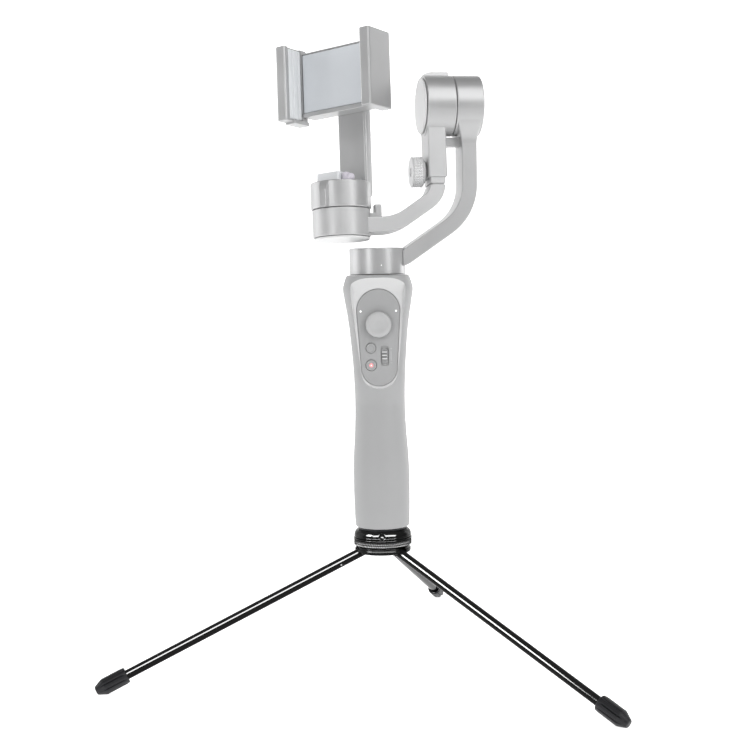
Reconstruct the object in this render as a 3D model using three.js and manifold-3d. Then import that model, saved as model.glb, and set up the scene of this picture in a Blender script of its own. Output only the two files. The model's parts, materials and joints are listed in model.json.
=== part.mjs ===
// Three-axis handheld stabilizer for a phone, screwed onto a folding mini tripod.
//
// Millimetres, +Z up. The origin is the middle of the tripod hub's underside, on the handle's axis.
// The control panel faces -Y. The groups are nested as the real arms are:
//   handle -> pan arm -> roll arm -> tilt arm -> phone clamp -> moving jaw.

import * as THREE from 'three';
import { mergeVertices } from 'three/addons/utils/BufferGeometryUtils.js';
import Module from 'manifold-3d';

const wasm = await Module();
wasm.setup();

// ---------------------------------------------------------------- driving dimensions

const GAP = 0.3;              // between two pieces that touch
const ROUND = 32;             // sides of a large round piece
const SMALL_ROUND = 16;       // sides of a small one
const INNER_ROUND = 12;       // sides of one that nothing shows
const CAVITY_ROUND = 24;      // sides of the battery's cavity and of the cap that closes it
const BEVEL = 0.6;            // broken edge of a cast or moulded piece

// attitude of the arms in the stored pose
const PAN_TURN = THREE.MathUtils.degToRad(9.5);
const ROLL_LEAN = THREE.MathUtils.degToRad(-4.4);
const TILT_TURN = THREE.MathUtils.degToRad(-45.3);

// tripod hub
const HUB_R = 17.6;
const HUB_COLUMN_R = 12.6;
const HUB_DISC_TOP = 3.7;
const HUB_COLUMN_TOP = 9.4;
const RING_R = 18.3;
const PLATE_BOTTOM = 9.7;
const PLATE_TOP = 14.4;
const PAD_R = 15.3;
const PAD_TOP = 16.5;
const STUD_R = 3.175;         // 1/4 inch tripod thread
const STUD_TOP = 22.5;

// tripod legs
const LEG_SPACING = 120;       // degrees between neighbouring legs
const LEG_FIRST_AZIMUTH = 76.3;
const LEG_NAMES = ['rear', 'left', 'right'];
const LEG_PIVOT_R = 9.5;
const LEG_PIVOT_Z = 2.19;
const LEG_DROP = THREE.MathUtils.degToRad(23.2);
const LEG_LENGTH = 185.6;     // pivot to the tip of the foot
const LEG_ROD_R = 2.9;
const LEG_TONGUE_R = 2.1;
const FOOT_LENGTH = 20.2;
const FOOT_R = 5.0;
const PIN_R = 1.0;
const PIN_HOLE_R = 1.3;

// handle
const GRIP_BOTTOM = 16.8;
const GRIP_TOP = 173.3;
const CAVITY_R = 13.3;
const CAVITY_BOTTOM = 22.6;
const BATTERY_R = 13.0;
const BATTERY_LENGTH = 65;
const BOARD_BAY = { halfWidth: 10, front: -12.8, back: 11, bottom: 104, top: 165 };
const NECK_HOLE_R = 8.0;

// control panel, a flat plate in a recess of the front shell
const PANEL_FACE = -16.6;
const PANEL_THICKNESS = 1.5;
const PANEL_BOTTOM = 105.4;
const PANEL_TOP = 164.7;
const PANEL_UPPER_R = 13.2;
const PANEL_LOWER_R = 10.9;
const RECESS_FLOOR = -16.3;
const PANEL_CURVE = 7;        // straight pieces in each quarter of the panel's ends
const JOYSTICK = { z: 143.1, capR: 7.95, pivotY: -10.2 };
const MODE_BUTTON = { x: -4.9, z: 128.7, r: 3.0 };
const POWER_BUTTON = { x: -4.9, z: 118.2, r: 3.25 };
const BUTTON_TRAVEL = 0.8;
const ZOOM_SLOT = { x: 3.5, z: 123.8, halfWidth: 2.5, halfHeight: 6.2 };
const USB_FLAP = { front: -11.0, back: -4.0, bottom: 136.3, top: 145.9, thickness: 1.3 };

// motors
const PAN_R = 17.27;
const PAN_BOTTOM = 173.6;
const PAN_TOP = 189.8;
const ROLL_AXIS_Z = 277.15;
const ROLL_R = 18.55;
const ROLL_SEAM = 48.45;      // from the handle's axis, along the roll axis
const ROLL_RIGHT_END = 65.5;
const ROLL_LEFT_END = 30.2;
const ROLL_DISC_END = 28.7;
const TILT_AXIS_X = -22.6;
const TILT_ROTOR_TOP = -47.75; // below the roll axis
const TILT_SEAM = -64.0;
const TILT_BOTTOM = -81.0;
const TILT_COVER_BOTTOM = -82.5;
const TILT_ROTOR_R = 18.46;
const TILT_STATOR_R = 17.75;
const MOTOR_BORE_R = 15.0;
const PAN_DEPTH = 14.0;       // of each rotor's hollow, from its seam
const ROLL_DEPTH = 14.4;
const TILT_DEPTH = 14.0;
const STATOR_SEAT_R = 12.5;
const FACE_DISC_R = 17.0;
const ROLL_RIDGE_PROUD = 2.2;
const TILT_RIDGE_PROUD = 2.6;
const RIDGE_WIDTH = 4.6;      // at its top
const RIDGE_SPREAD = 1.4;     // how much wider its root is
const TILT_RIDGE_TURN = 6;    // degrees from the middle of the clamp's front

// arms: flat bars that bend in their own plane
const ARM_THICKNESS = 9.4;
const ARM_HALF_DEPTH = 9.7;
const ROLL_ARM_X = 57.6;      // middle of the pan arm's upright part
const SLIDE_X = 36.7;         // middle of the sliding part of the tilt arm
const SLEEVE_HALF_WIDTH = 5.7;
const SLEEVE_HALF_DEPTH = 10.8;
const SLEEVE_BOTTOM = -45.4;
const SLOT_TOP = -21.0;
const TONGUE_TOP = -25.0;
const KNOB = { face: 21.5, z: -41.0, r: 9.5, length: 7.5 };

// phone clamp, in the frame of the tilt rotor: X along the jaws' travel, front towards -Y
const JAW_OUTER = 36.0;
const JAW_INNER = 28.5;
const JAW_FRONT = -15.2;
const JAW_BACK = 6.7;
const JAW_BOTTOM = 41.2;
const JAW_TOP = 87.4;
const PLATE_FACE = 1.7;
const PLATE_THICKNESS = 1.4;
const JAW_GAP = 0.4;          // between the closed moving jaw and the clamp's body
const BODY_BACK = 12.5;
const BODY_RIGHT = 31.0;
const BODY_BOTTOM = 44.7;
const BODY_TOP = 85.0;
const LIP_FACE = 0.9;
const LOWER_LIP_TOP = 47.4;
const UPPER_LIP_BOTTOM = 84.2;
const POST_HALF_WIDTH = 10.64;
const POST_BACK = 20.0;
const POST_BOTTOM = -8.5;
const POST_TOP = 80.0;

// ---------------------------------------------------------------- materials

function material(color, roughness, metalness) {
  return new THREE.MeshStandardMaterial({ color, roughness, metalness, flatShading: true });
}

const look = {
  cast: () => material('#b9babb', 0.42, 0.55),
  paleCast: () => material('#cfd1d1', 0.4, 0.5),
  disc: () => material('#e2e3e3', 0.45, 0.2),
  grip: () => material('#b3b4b5', 0.72, 0.0),
  panel: () => material('#a9aaab', 0.6, 0.0),
  button: () => material('#b9b9ba', 0.55, 0.0),
  slate: () => material('#c8ccd0', 0.5, 0.1),
  palePad: () => material('#c3c8cc', 0.8, 0.0),
  black: () => material('#0c0c0d', 0.18, 0.6),
  darkRubber: () => material('#2a2b2d', 0.75, 0.0),
  steel: () => material('#8f9498', 0.3, 0.9),
  brass: () => material('#b08d57', 0.35, 0.9),
  copper: () => material('#8a5a3c', 0.5, 0.7),
  board: () => material('#23402c', 0.6, 0.0),
  cell: () => material('#3f6fa8', 0.5, 0.0),
  lilac: () => material('#d6d2dd', 0.5, 0.0),
};

// ---------------------------------------------------------------- solids and placing

// A closed three.js geometry as a solid with its faces pointing out.
function solid(geometry) {
  const bare = geometry.clone();
  bare.deleteAttribute('normal');
  bare.deleteAttribute('uv');
  const merged = mergeVertices(bare, 1e-5);
  const index = merged.index.array;
  const corners = [];
  for (let i = 0; i < index.length; i += 3) {
    const [a, b, c] = [index[i], index[i + 1], index[i + 2]];
    if (a !== b && b !== c && a !== c) corners.push(a, b, c);
  }
  const points = merged.attributes.position.array;
  if (signedVolume(points, corners) < 0) {
    for (let i = 0; i < corners.length; i += 3) {
      [corners[i], corners[i + 1]] = [corners[i + 1], corners[i]];
    }
  }
  return new wasm.Manifold(new wasm.Mesh({
    numProp: 3,
    vertProperties: Float32Array.from(points),
    triVerts: Uint32Array.from(corners),
  }));
}

function signedVolume(points, corners) {
  const vertex = (i) => new THREE.Vector3().fromArray(points, 3 * i);
  let sum = 0;
  for (let i = 0; i < corners.length; i += 3) {
    const [a, b, c] = [corners[i], corners[i + 1], corners[i + 2]].map(vertex);
    sum += a.dot(b.cross(c));
  }
  return sum;
}

function bufferGeometry(manifold) {
  const mesh = manifold.getMesh();
  const geometry = new THREE.BufferGeometry();
  geometry.setAttribute('position', new THREE.BufferAttribute(Float32Array.from(mesh.vertProperties), 3));
  geometry.setIndex(new THREE.BufferAttribute(Uint32Array.from(mesh.triVerts), 1));
  geometry.computeVertexNormals();
  return geometry;
}

function place(parent, name, manifold, meshMaterial) {
  const mesh = new THREE.Mesh(bufferGeometry(manifold), meshMaterial);
  mesh.name = name;
  parent.add(mesh);
  return mesh;
}

function nest(parent, position, rotation) {
  const group = new THREE.Group();
  group.position.set(...position);
  group.rotation.set(...rotation);
  parent.add(group);
  return group;
}

function union(...solids) {
  return solids.reduce((sum, next) => sum.add(next));
}

// ---------------------------------------------------------------- basic shapes

function box([x0, x1], [y0, y1], [z0, z1]) {
  const geometry = new THREE.BoxGeometry(x1 - x0, y1 - y0, z1 - z0);
  geometry.translate((x0 + x1) / 2, (y0 + y1) / 2, (z0 + z1) / 2);
  return solid(geometry);
}

function lathe(profile, sides = ROUND) {
  const points = profile.map(([r, z]) => new THREE.Vector2(r, z));
  return solid(new THREE.LatheGeometry(points, sides).rotateX(Math.PI / 2));
}

function cylinder(radius, [z0, z1], sides = ROUND) {
  return lathe([[0, z0], [radius, z0], [radius, z1], [0, z1]], sides);
}

function chamferedCylinder(radius, [z0, z1], chamfer, sides = ROUND) {
  const inner = radius - chamfer;
  return lathe([
    [0, z0], [inner, z0], [radius, z0 + chamfer], [radius, z1 - chamfer], [inner, z1], [0, z1],
  ], sides);
}

function tube(inner, outer, [z0, z1], sides = ROUND) {
  return lathe([[inner, z0], [outer, z0], [outer, z1], [inner, z1], [inner, z0]], sides);
}

// An outline in the XY plane, pulled up along Z, with its edges broken by `bevel`.
function prism(shape, [z0, z1], bevel = 0, curveSegments = 3) {
  const geometry = new THREE.ExtrudeGeometry(shape, {
    depth: z1 - z0 - 2 * bevel,
    bevelEnabled: bevel > 0,
    bevelThickness: bevel,
    bevelSize: bevel,
    bevelOffset: -bevel,
    bevelSegments: 1,
    curveSegments,
  });
  geometry.translate(0, 0, z0 + bevel);
  return solid(geometry);
}

function roundedRectangle(halfWidth, halfHeight, radius) {
  const shape = new THREE.Shape();
  const [w, h, r] = [halfWidth, halfHeight, radius];
  shape.absarc(w - r, h - r, r, 0, Math.PI / 2);
  shape.absarc(r - w, h - r, r, Math.PI / 2, Math.PI);
  shape.absarc(r - w, r - h, r, Math.PI, 1.5 * Math.PI);
  shape.absarc(w - r, r - h, r, 1.5 * Math.PI, 2 * Math.PI);
  shape.closePath();
  return shape;
}

// A box with its four edges along Z rounded and its rims broken.
function roundedBox([x0, x1], [y0, y1], [z0, z1], radius, bevel = 0) {
  const shape = roundedRectangle((x1 - x0) / 2, (y1 - y0) / 2, radius);
  return prism(shape, [z0, z1], bevel).translate([(x0 + x1) / 2, (y0 + y1) / 2, 0]);
}

// A disc outline with teeth all round.
function toothedShape(radius, depth, teeth) {
  const shape = new THREE.Shape();
  for (let i = 0; i < 4 * teeth; i += 1) {
    const angle = (i / (4 * teeth)) * 2 * Math.PI;
    const r = i % 4 < 2 ? radius : radius - depth;
    if (i === 0) shape.moveTo(r, 0);
    else shape.lineTo(r * Math.cos(angle), r * Math.sin(angle));
  }
  shape.closePath();
  return shape;
}

// Turns a solid built along Z so that its +Z end points along +X.
const alongX = (manifold) => manifold.rotate([0, 90, 0]);

// Turns an outline drawn in XZ and pulled along Z so that it stands upright and is pulled along Y.
const upright = (manifold) => manifold.rotate([90, 0, 0]);

// ---------------------------------------------------------------- bars that bend

// The middle line of a bar: straight stretches joined by arcs of the given radii.
function bentLine(corners) {
  const line = [];
  const stepAngle = THREE.MathUtils.degToRad(12);
  corners.forEach(({ x, z, radius }, i) => {
    const here = new THREE.Vector2(x, z);
    if (!radius) {
      line.push(here);
      return;
    }
    const before = new THREE.Vector2(corners[i - 1].x, corners[i - 1].z).sub(here).normalize();
    const after = new THREE.Vector2(corners[i + 1].x, corners[i + 1].z).sub(here).normalize();
    const half = Math.acos(before.dot(after)) / 2;
    const middle = before.clone().add(after).normalize();
    const centre = middle.multiplyScalar(radius / Math.sin(half)).add(here);
    const start = before.clone().multiplyScalar(radius / Math.tan(half)).add(here).sub(centre);
    const turn = Math.PI - 2 * half;
    const sense = Math.sign(before.cross(after)) * -1;
    const steps = Math.max(2, Math.ceil(turn / stepAngle));
    for (let k = 0; k <= steps; k += 1) {
      line.push(start.clone().rotateAround(new THREE.Vector2(), (sense * turn * k) / steps).add(centre));
    }
  });
  return line;
}

// A bar of constant thickness along that line, in the XZ plane, and `halfDepth` to each side of it.
function bentBar(corners, thickness, halfDepth, bevel) {
  const line = bentLine(corners);
  const edge = (side) => line.map((point, i) => {
    const ahead = line[Math.min(i + 1, line.length - 1)];
    const behind = line[Math.max(i - 1, 0)];
    const along = ahead.clone().sub(behind).normalize();
    return new THREE.Vector2(-along.y, along.x).multiplyScalar((side * thickness) / 2).add(point);
  });
  const outline = [...edge(1), ...edge(-1).reverse()];
  return upright(prism(new THREE.Shape(outline), [-halfDepth, halfDepth], bevel));
}

// ---------------------------------------------------------------- motors

// A brushless motor's inside, along Z: the stator is fastened below the seam at z = 0 and reaches up
// into the rotor, which carries the magnets and the shaft.
function motorInside({ seatRadius, seatDepth, rotorDepth }) {
  const coreRadius = 10.8;
  const coreTop = rotorDepth - 4.0;
  const boreRadius = 2.6;
  const bearingSeat = { radius: 5.2, depth: 3.0 };
  const shaftRadius = 2.0;
  const seat = cylinder(seatRadius, [-seatDepth, 1.0], INNER_ROUND);
  const core = prism(toothedShape(coreRadius, 1.6, 9), [0.8, coreTop]);
  const bore = cylinder(boreRadius, [-seatDepth - 1, coreTop + 1], INNER_ROUND);
  const pocket = cylinder(bearingSeat.radius, [coreTop - bearingSeat.depth, coreTop + 1], INNER_ROUND);
  const bearingTop = coreTop - GAP;
  const bearingR = bearingSeat.radius - 0.4;
  const shaft = cylinder(shaftRadius, [-seatDepth + 1.5, rotorDepth - 1.2], INNER_ROUND);
  const flange = cylinder(6.0, [rotorDepth - 1.5, rotorDepth - GAP], INNER_ROUND);
  return {
    stator: seat.add(core).subtract(bore).subtract(pocket),
    bearing: tube(shaftRadius + GAP, bearingR, [bearingTop - 2.4, bearingTop], INNER_ROUND),
    shaft: shaft.add(flange),
    magnets: tube(11.5, MOTOR_BORE_R - 0.5, [1.5, rotorDepth - 2.0], SMALL_ROUND),
  };
}

// A low rib along a motor's housing, which meets the stop on the neighbouring arm. It stands out
// towards -Y and runs along Z, with its far end sloped down to the housing.
function stopRidge(radius, proud, [z0, z1]) {
  const root = radius - 0.6;
  const top = radius + proud;
  const slope = 4.0;
  const side = new THREE.Shape();
  side.moveTo(z0, root);
  side.lineTo(z0, top);
  side.lineTo(z1 - slope, top);
  side.quadraticCurveTo(z1 - 0.3 * slope, top - 0.2 * proud, z1, root);
  side.closePath();
  const rootWidth = RIDGE_WIDTH + RIDGE_SPREAD;
  const bar = prism(side, [-rootWidth / 2, rootWidth / 2]).rotate([0, -90, 0]).rotate([0, 0, 180]);
  const section = new THREE.Shape();
  section.moveTo(-rootWidth / 2, -root);
  section.lineTo(-RIDGE_WIDTH / 2, -top);
  section.lineTo(RIDGE_WIDTH / 2, -top);
  section.lineTo(rootWidth / 2, -root);
  section.closePath();
  return bar.intersect(prism(section, [z0 - 1, z1 + 1]));
}

// ---------------------------------------------------------------- handle shells

// Half width of the grip at each height, from the base up to the shoulder under the pan motor.
const gripProfile = new THREE.SplineCurve([
  [16.1, GRIP_BOTTOM], [17.0, 18.6], [17.5, 40], [17.2, 59], [16.0, 78], [15.55, 95],
  [16.0, 112], [16.95, 127], [18.4, 143], [20.5, 156.5], [21.65, 164.5], [20.9, 168.6], [19.7, 172.3],
].map(([r, z]) => new THREE.Vector2(r, z)));

const smoothstep = THREE.MathUtils.smoothstep;

// The front of the grip squares up and stands a little proud where the panel is let in.
function squareFront(x, y, z) {
  if (y >= 0) return [x, y];
  const squareness = smoothstep(z, 92, 112);
  const exponent = 2 + 1.5 * squareness;
  const radius = Math.hypot(x, y);
  const [c, s] = [Math.abs(x) / radius, Math.abs(y) / radius];
  const grow = (c ** exponent + s ** exponent) ** (-1 / exponent);
  const proud = 1 + 0.11 * smoothstep(z, 92, 108) * (1 - smoothstep(z, 140, 168));
  return [x * grow, y * grow * proud];
}

// The solid outer shape of the grip, shrunk by `inset` all round.
function gripBody(inset) {
  const rings = 15;
  const outline = gripProfile.getPoints(rings).map(({ x, y }) => [x - inset, y]);
  const profile = [[0, GRIP_BOTTOM], ...outline, [18.0 - inset, GRIP_TOP], [0, GRIP_TOP]];
  const points = profile.map(([r, z]) => new THREE.Vector2(r, z));
  const geometry = new THREE.LatheGeometry(points, ROUND).rotateX(Math.PI / 2);
  const position = geometry.attributes.position;
  for (let i = 0; i < position.count; i += 1) {
    const [x, y, z] = [position.getX(i), position.getY(i), position.getZ(i)];
    if (Math.hypot(x, y) > 1) {
      const [newX, newY] = squareFront(x, y, z);
      position.setXY(i, newX, newY);
    }
  }
  return solid(geometry);
}

// The panel's outline in XZ: a large arc over a smaller one, joined by straight tapering sides.
function panelShape(margin) {
  const [upper, lower] = [PANEL_UPPER_R + margin, PANEL_LOWER_R + margin];
  const upperZ = PANEL_TOP - PANEL_UPPER_R;
  const lowerZ = PANEL_BOTTOM + PANEL_LOWER_R;
  const lean = Math.asin((upper - lower) / (upperZ - lowerZ));
  const shape = new THREE.Shape();
  shape.absarc(0, upperZ, upper, -lean, Math.PI + lean);
  shape.absarc(0, lowerZ, lower, Math.PI + lean, 2 * Math.PI - lean);
  shape.closePath();
  return shape;
}

// The wider outline of the recess: a scoop with square shoulders above the panel.
function recessShape() {
  const margin = 1.2;
  const shoulder = { halfWidth: 15.0, top: 170.5, bottom: 158.0, radius: 4.5 };
  const lower = PANEL_LOWER_R + margin;
  const lowerZ = PANEL_BOTTOM + PANEL_LOWER_R;
  const shape = new THREE.Shape();
  shape.absarc(0, lowerZ, lower, Math.PI, 2 * Math.PI);
  shape.lineTo(shoulder.halfWidth, shoulder.bottom);
  const cornerX = shoulder.halfWidth - shoulder.radius;
  const cornerZ = shoulder.top - shoulder.radius;
  shape.absarc(cornerX, cornerZ, shoulder.radius, 0, Math.PI / 2);
  shape.absarc(-cornerX, cornerZ, shoulder.radius, Math.PI / 2, Math.PI);
  shape.lineTo(-shoulder.halfWidth, shoulder.bottom);
  shape.closePath();
  return shape;
}

// The recess: its walls flare outwards, and above the panel its floor slopes up to the shoulder.
function recessCutter() {
  const flare = { depth: 6.0, size: 2.4 };
  const geometry = new THREE.ExtrudeGeometry(recessShape(), {
    depth: 4,
    bevelEnabled: true,
    bevelThickness: flare.depth,
    bevelSize: flare.size,
    bevelSegments: 1,
    curveSegments: PANEL_CURVE,
  });
  geometry.translate(0, 0, flare.depth - RECESS_FLOOR);
  const scoop = new THREE.Shape();
  scoop.moveTo(-RECESS_FLOOR - 2, 161);
  scoop.lineTo(-RECESS_FLOOR, 161);
  scoop.quadraticCurveTo(-RECESS_FLOOR + 0.6, 167, 20.4, 172.6);
  scoop.lineTo(-RECESS_FLOOR - 2, 172.6);
  scoop.closePath();
  const floor = prism(scoop, [-25, 25]).rotate([90, 0, 0]).rotate([0, 0, -90]);
  return upright(solid(geometry)).subtract(floor);
}

function panelPrism(margin, front, back) {
  return upright(prism(panelShape(margin), [-back, -front], 0, PANEL_CURVE));
}

function roundHole(x, z, radius, front, back) {
  return upright(cylinder(radius, [-back, -front], SMALL_ROUND)).translate([x, 0, z]);
}

const flapBox = (margin) => box(
  [-30, -10],
  [USB_FLAP.front - margin, USB_FLAP.back + margin],
  [USB_FLAP.bottom - margin, USB_FLAP.top + margin],
);

function handleShells() {
  const bay = box(
    [-BOARD_BAY.halfWidth, BOARD_BAY.halfWidth],
    [BOARD_BAY.front, BOARD_BAY.back],
    [BOARD_BAY.bottom, BOARD_BAY.top],
  );
  const holes = union(
    cylinder(CAVITY_R, [GRIP_BOTTOM - 1, BOARD_BAY.bottom - 2], CAVITY_ROUND),
    cylinder(9.5, [BOARD_BAY.bottom - 5, BOARD_BAY.top - 1], SMALL_ROUND),
    bay,
    cylinder(NECK_HOLE_R, [BOARD_BAY.top - 2, GRIP_TOP + 1], SMALL_ROUND),
    panelPrism(GAP, -30, PANEL_FACE + PANEL_THICKNESS + GAP),
    recessCutter(),
    roundHole(0, JOYSTICK.z, 5.6, -20, -12),
    roundHole(MODE_BUTTON.x, MODE_BUTTON.z, 2.2, -20, -12),
    roundHole(POWER_BUTTON.x, POWER_BUTTON.z, 2.2, -20, -12),
    box([ZOOM_SLOT.x - 1.3, ZOOM_SLOT.x + 1.3], [-20, -12], [ZOOM_SLOT.z - 3.6, ZOOM_SLOT.z + 3.6]),
    flapBox(GAP).subtract(gripBody(USB_FLAP.thickness + GAP)),
    box([-20, -9.5], [-9.5, -5.5], [136.9, 145.3]),
  );
  const walls = gripBody(0).subtract(holes);
  const front = walls.intersect(box([-40, 40], [-40, -GAP / 2], [0, 200]));
  const rear = walls.intersect(box([-40, 40], [GAP / 2, 40], [0, 200]));
  return { front, rear };
}

function controlPanel() {
  const plate = panelPrism(0, PANEL_FACE, PANEL_FACE + PANEL_THICKNESS);
  const slot = roundedRectangle(ZOOM_SLOT.halfWidth, ZOOM_SLOT.halfHeight, 1.4);
  const slotCut = upright(prism(slot, [12, 20])).translate([ZOOM_SLOT.x, 0, ZOOM_SLOT.z]);
  return plate.subtract(union(
    roundHole(0, JOYSTICK.z, 5.2, -20, -12),
    roundHole(MODE_BUTTON.x, MODE_BUTTON.z, MODE_BUTTON.r + GAP, -20, -12),
    roundHole(POWER_BUTTON.x, POWER_BUTTON.z, POWER_BUTTON.r + GAP, -20, -12),
    slotCut,
  ));
}

// A printed board with a few square packages on its back.
function circuitBoard([x0, x1], [y0, y1], [z0, z1], packages) {
  const board = box([x0, x1], [y0, y1], [z0, z1]);
  return packages.reduce((sum, { x, z, half, height }) => (
    sum.add(box([x - half, x + half], [y1 - 0.2, y1 + height], [z - half, z + half]))
  ), board);
}

function buildHandle(root) {
  const { front, rear } = handleShells();
  place(root, 'front_shell', front, look.grip());
  place(root, 'rear_shell', rear, look.grip());
  place(root, 'control_panel', controlPanel(), look.panel());

  const controlBoard = circuitBoard([-9, 9], [-12.3, -11], [107, 161], [
    { x: 4, z: 112, half: 2.5, height: 0.9 },
    { x: -4, z: 155, half: 3.0, height: 0.9 },
  ]);
  const stickHole = roundHole(0, JOYSTICK.z, 5.8, -20, -8);
  place(root, 'control_board', controlBoard.subtract(stickHole), look.board());
  const mainBoard = circuitBoard([-9, 9], [3, 4.4], [108, 158], [
    { x: 0, z: 145, half: 4.0, height: 1.1 },
    { x: -4, z: 124, half: 3.0, height: 1.1 },
    { x: 4, z: 116, half: 2.5, height: 1.1 },
  ]);
  place(root, 'main_board', mainBoard, look.board());

  const cellBottom = CAVITY_BOTTOM + 3.5;
  const cellTop = cellBottom + BATTERY_LENGTH;
  const cell = chamferedCylinder(BATTERY_R, [cellBottom, cellTop], 1.0, SMALL_ROUND);
  const terminal = cylinder(4.0, [cellTop - 0.5, cellTop + 1.2], INNER_ROUND);
  place(root, 'battery_cell', cell.add(terminal), look.cell());

  const cap = tube(5.8, CAVITY_R - GAP, [GRIP_BOTTOM, CAVITY_BOTTOM], CAVITY_ROUND);
  place(root, 'base_cap', cap, look.grip());
  const insert = tube(STUD_R + GAP, 5.5, [GRIP_BOTTOM + 0.2, CAVITY_BOTTOM], SMALL_ROUND);
  place(root, 'thread_insert', insert, look.brass());

  const portShell = box([-15.9, -9.8], [-9.2, -5.8], [137.2, 145.0]);
  const portMouth = box([-17, -11.5], [-8.6, -6.4], [138.0, 144.2]);
  place(root, 'usb_port', portShell.subtract(portMouth), look.steel());

  const inside = motorInside({ seatRadius: NECK_HOLE_R - GAP, seatDepth: 4.0, rotorDepth: PAN_DEPTH });
  const motor = nest(root, [0, 0, PAN_BOTTOM], [0, 0, 0]);
  place(motor, 'pan_stator', inside.stator, look.copper());
  place(motor, 'pan_bearing', inside.bearing, look.steel());
  return inside;
}

// ---------------------------------------------------------------- controls

function buildControls(root) {
  const stick = nest(root, [0, JOYSTICK.pivotY, JOYSTICK.z], [Math.PI / 2, 0, 0]);
  place(stick, 'joystick_yoke', tube(3.0, 4.6, [-0.7, 0.7], SMALL_ROUND), look.steel());
  const [capBottom, capTop] = [8.1, 10.6];
  const cap = lathe([
    [0, capBottom], [JOYSTICK.capR - 0.5, capBottom], [JOYSTICK.capR, capBottom + 0.5],
    [JOYSTICK.capR, capBottom + 1.3], [JOYSTICK.capR - 0.8, capTop - 0.3], [JOYSTICK.capR - 2.5, capTop],
    [0, capTop],
  ], CAVITY_ROUND);
  const stem = cylinder(2.0, [0, capBottom + 0.5], INNER_ROUND);
  const ball = solid(new THREE.SphereGeometry(2.4, INNER_ROUND, 8));
  place(stick, 'joystick', union(cap, stem, ball), look.button());

  const capBack = BUTTON_TRAVEL + 2 * GAP - PANEL_FACE - PANEL_THICKNESS;
  const pushButton = ({ r }) => union(
    chamferedCylinder(r, [capBack, 0.7 - PANEL_FACE], 0.4, SMALL_ROUND),
    cylinder(1.8, [13.5, capBack + 0.2], INNER_ROUND),
  );
  for (const [name, button] of [['mode_button', MODE_BUTTON], ['power_button', POWER_BUTTON]]) {
    const seat = nest(root, [button.x, 0, button.z], [Math.PI / 2, 0, 0]);
    place(seat, name, pushButton(button), look.button());
  }

  const slider = nest(root, [ZOOM_SLOT.x, 0, ZOOM_SLOT.z], [Math.PI / 2, 0, 0]);
  const rib = (y) => box([-2.0, 2.0], [y - 0.35, y + 0.35], [16.6, 17.6]);
  place(slider, 'zoom_slider', union(
    roundedBox([-2.1, 2.1], [-4.2, 4.2], [15.4, 17.0], 1.1),
    box([-0.9, 0.9], [-1.8, 1.8], [13.5, 15.6]),
    rib(-1.6), rib(0), rib(1.6),
  ), look.panel());

  const flap = flapBox(0).intersect(gripBody(0).subtract(gripBody(USB_FLAP.thickness)));
  place(root, 'usb_flap', flap, look.grip());
}

// ---------------------------------------------------------------- tripod

function buildTripod(root) {
  const slot = box([6.5, 20], [-LEG_ROD_R - GAP, LEG_ROD_R + GAP], [-1, 4.9]);
  const pinHole = cylinder(PIN_HOLE_R, [-6.2, 6.2], INNER_ROUND)
    .rotate([90, 0, 0])
    .translate([LEG_PIVOT_R, 0, LEG_PIVOT_Z]);
  let base = lathe([
    [0, 0], [HUB_R - 0.8, 0], [HUB_R, 0.8], [HUB_R, 2.3], [HUB_R - 0.8, 2.5], [HUB_R - 0.8, HUB_DISC_TOP],
    [HUB_COLUMN_R, HUB_DISC_TOP], [HUB_COLUMN_R, HUB_COLUMN_TOP], [0, HUB_COLUMN_TOP],
  ]);
  base = base.subtract(cylinder(7.3, [6.0, 12], SMALL_ROUND));
  const azimuth = (i) => LEG_FIRST_AZIMUTH + i * LEG_SPACING;
  LEG_NAMES.forEach((_, i) => {
    base = base.subtract(slot.add(pinHole).rotate([0, 0, azimuth(i)]));
  });
  place(root, 'tripod_base', base, look.black());

  const plate = lathe([
    [STUD_R + GAP, PLATE_BOTTOM], [RING_R - 0.4, PLATE_BOTTOM], [RING_R - 0.4, PLATE_BOTTOM + 1.0],
    [RING_R - 0.8, PLATE_TOP - 1.2], [RING_R - 1.3, PLATE_TOP - 0.3], [RING_R - 2.0, PLATE_TOP],
    [STUD_R + GAP, PLATE_TOP], [STUD_R + GAP, PLATE_BOTTOM],
  ]);
  place(root, 'top_plate', plate, look.black());
  place(root, 'top_pad', tube(STUD_R + GAP, PAD_R, [PLATE_TOP + GAP, PAD_TOP]), look.darkRubber());
  place(root, 'tripod_stud', union(
    cylinder(7.0, [6.3, 8.6], SMALL_ROUND),
    cylinder(STUD_R, [8.3, STUD_TOP], SMALL_ROUND),
  ), look.steel());

  const ringBore = HUB_COLUMN_R + GAP;
  const knurlBand = prism(toothedShape(RING_R - 0.1, 0.5, 24), [4.9, 8.0]);
  const ringBody = lathe([
    [ringBore, 4.2], [RING_R - 0.9, 4.2], [RING_R - 0.5, 4.6], [RING_R - 0.5, 8.3], [RING_R, 8.7],
    [RING_R, 9.0], [RING_R - 0.6, 9.4], [ringBore, 9.4], [ringBore, 4.2],
  ]);
  const ringHole = cylinder(ringBore, [0, 12]);
  place(root, 'leg_lock_ring', knurlBand.subtract(ringHole).add(ringBody), look.black());

  LEG_NAMES.forEach((name, i) => {
    const turned = nest(root, [0, 0, 0], [0, 0, THREE.MathUtils.degToRad(azimuth(i))]);
    const pin = cylinder(PIN_R, [-5.8, 5.8], INNER_ROUND).rotate([90, 0, 0]);
    place(nest(turned, [LEG_PIVOT_R, 0, LEG_PIVOT_Z], [0, 0, 0]), `leg_pin_${name}`, pin, look.steel());
    buildLeg(nest(turned, [LEG_PIVOT_R, 0, LEG_PIVOT_Z], [0, LEG_DROP, 0]), name);
  });
}

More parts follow.
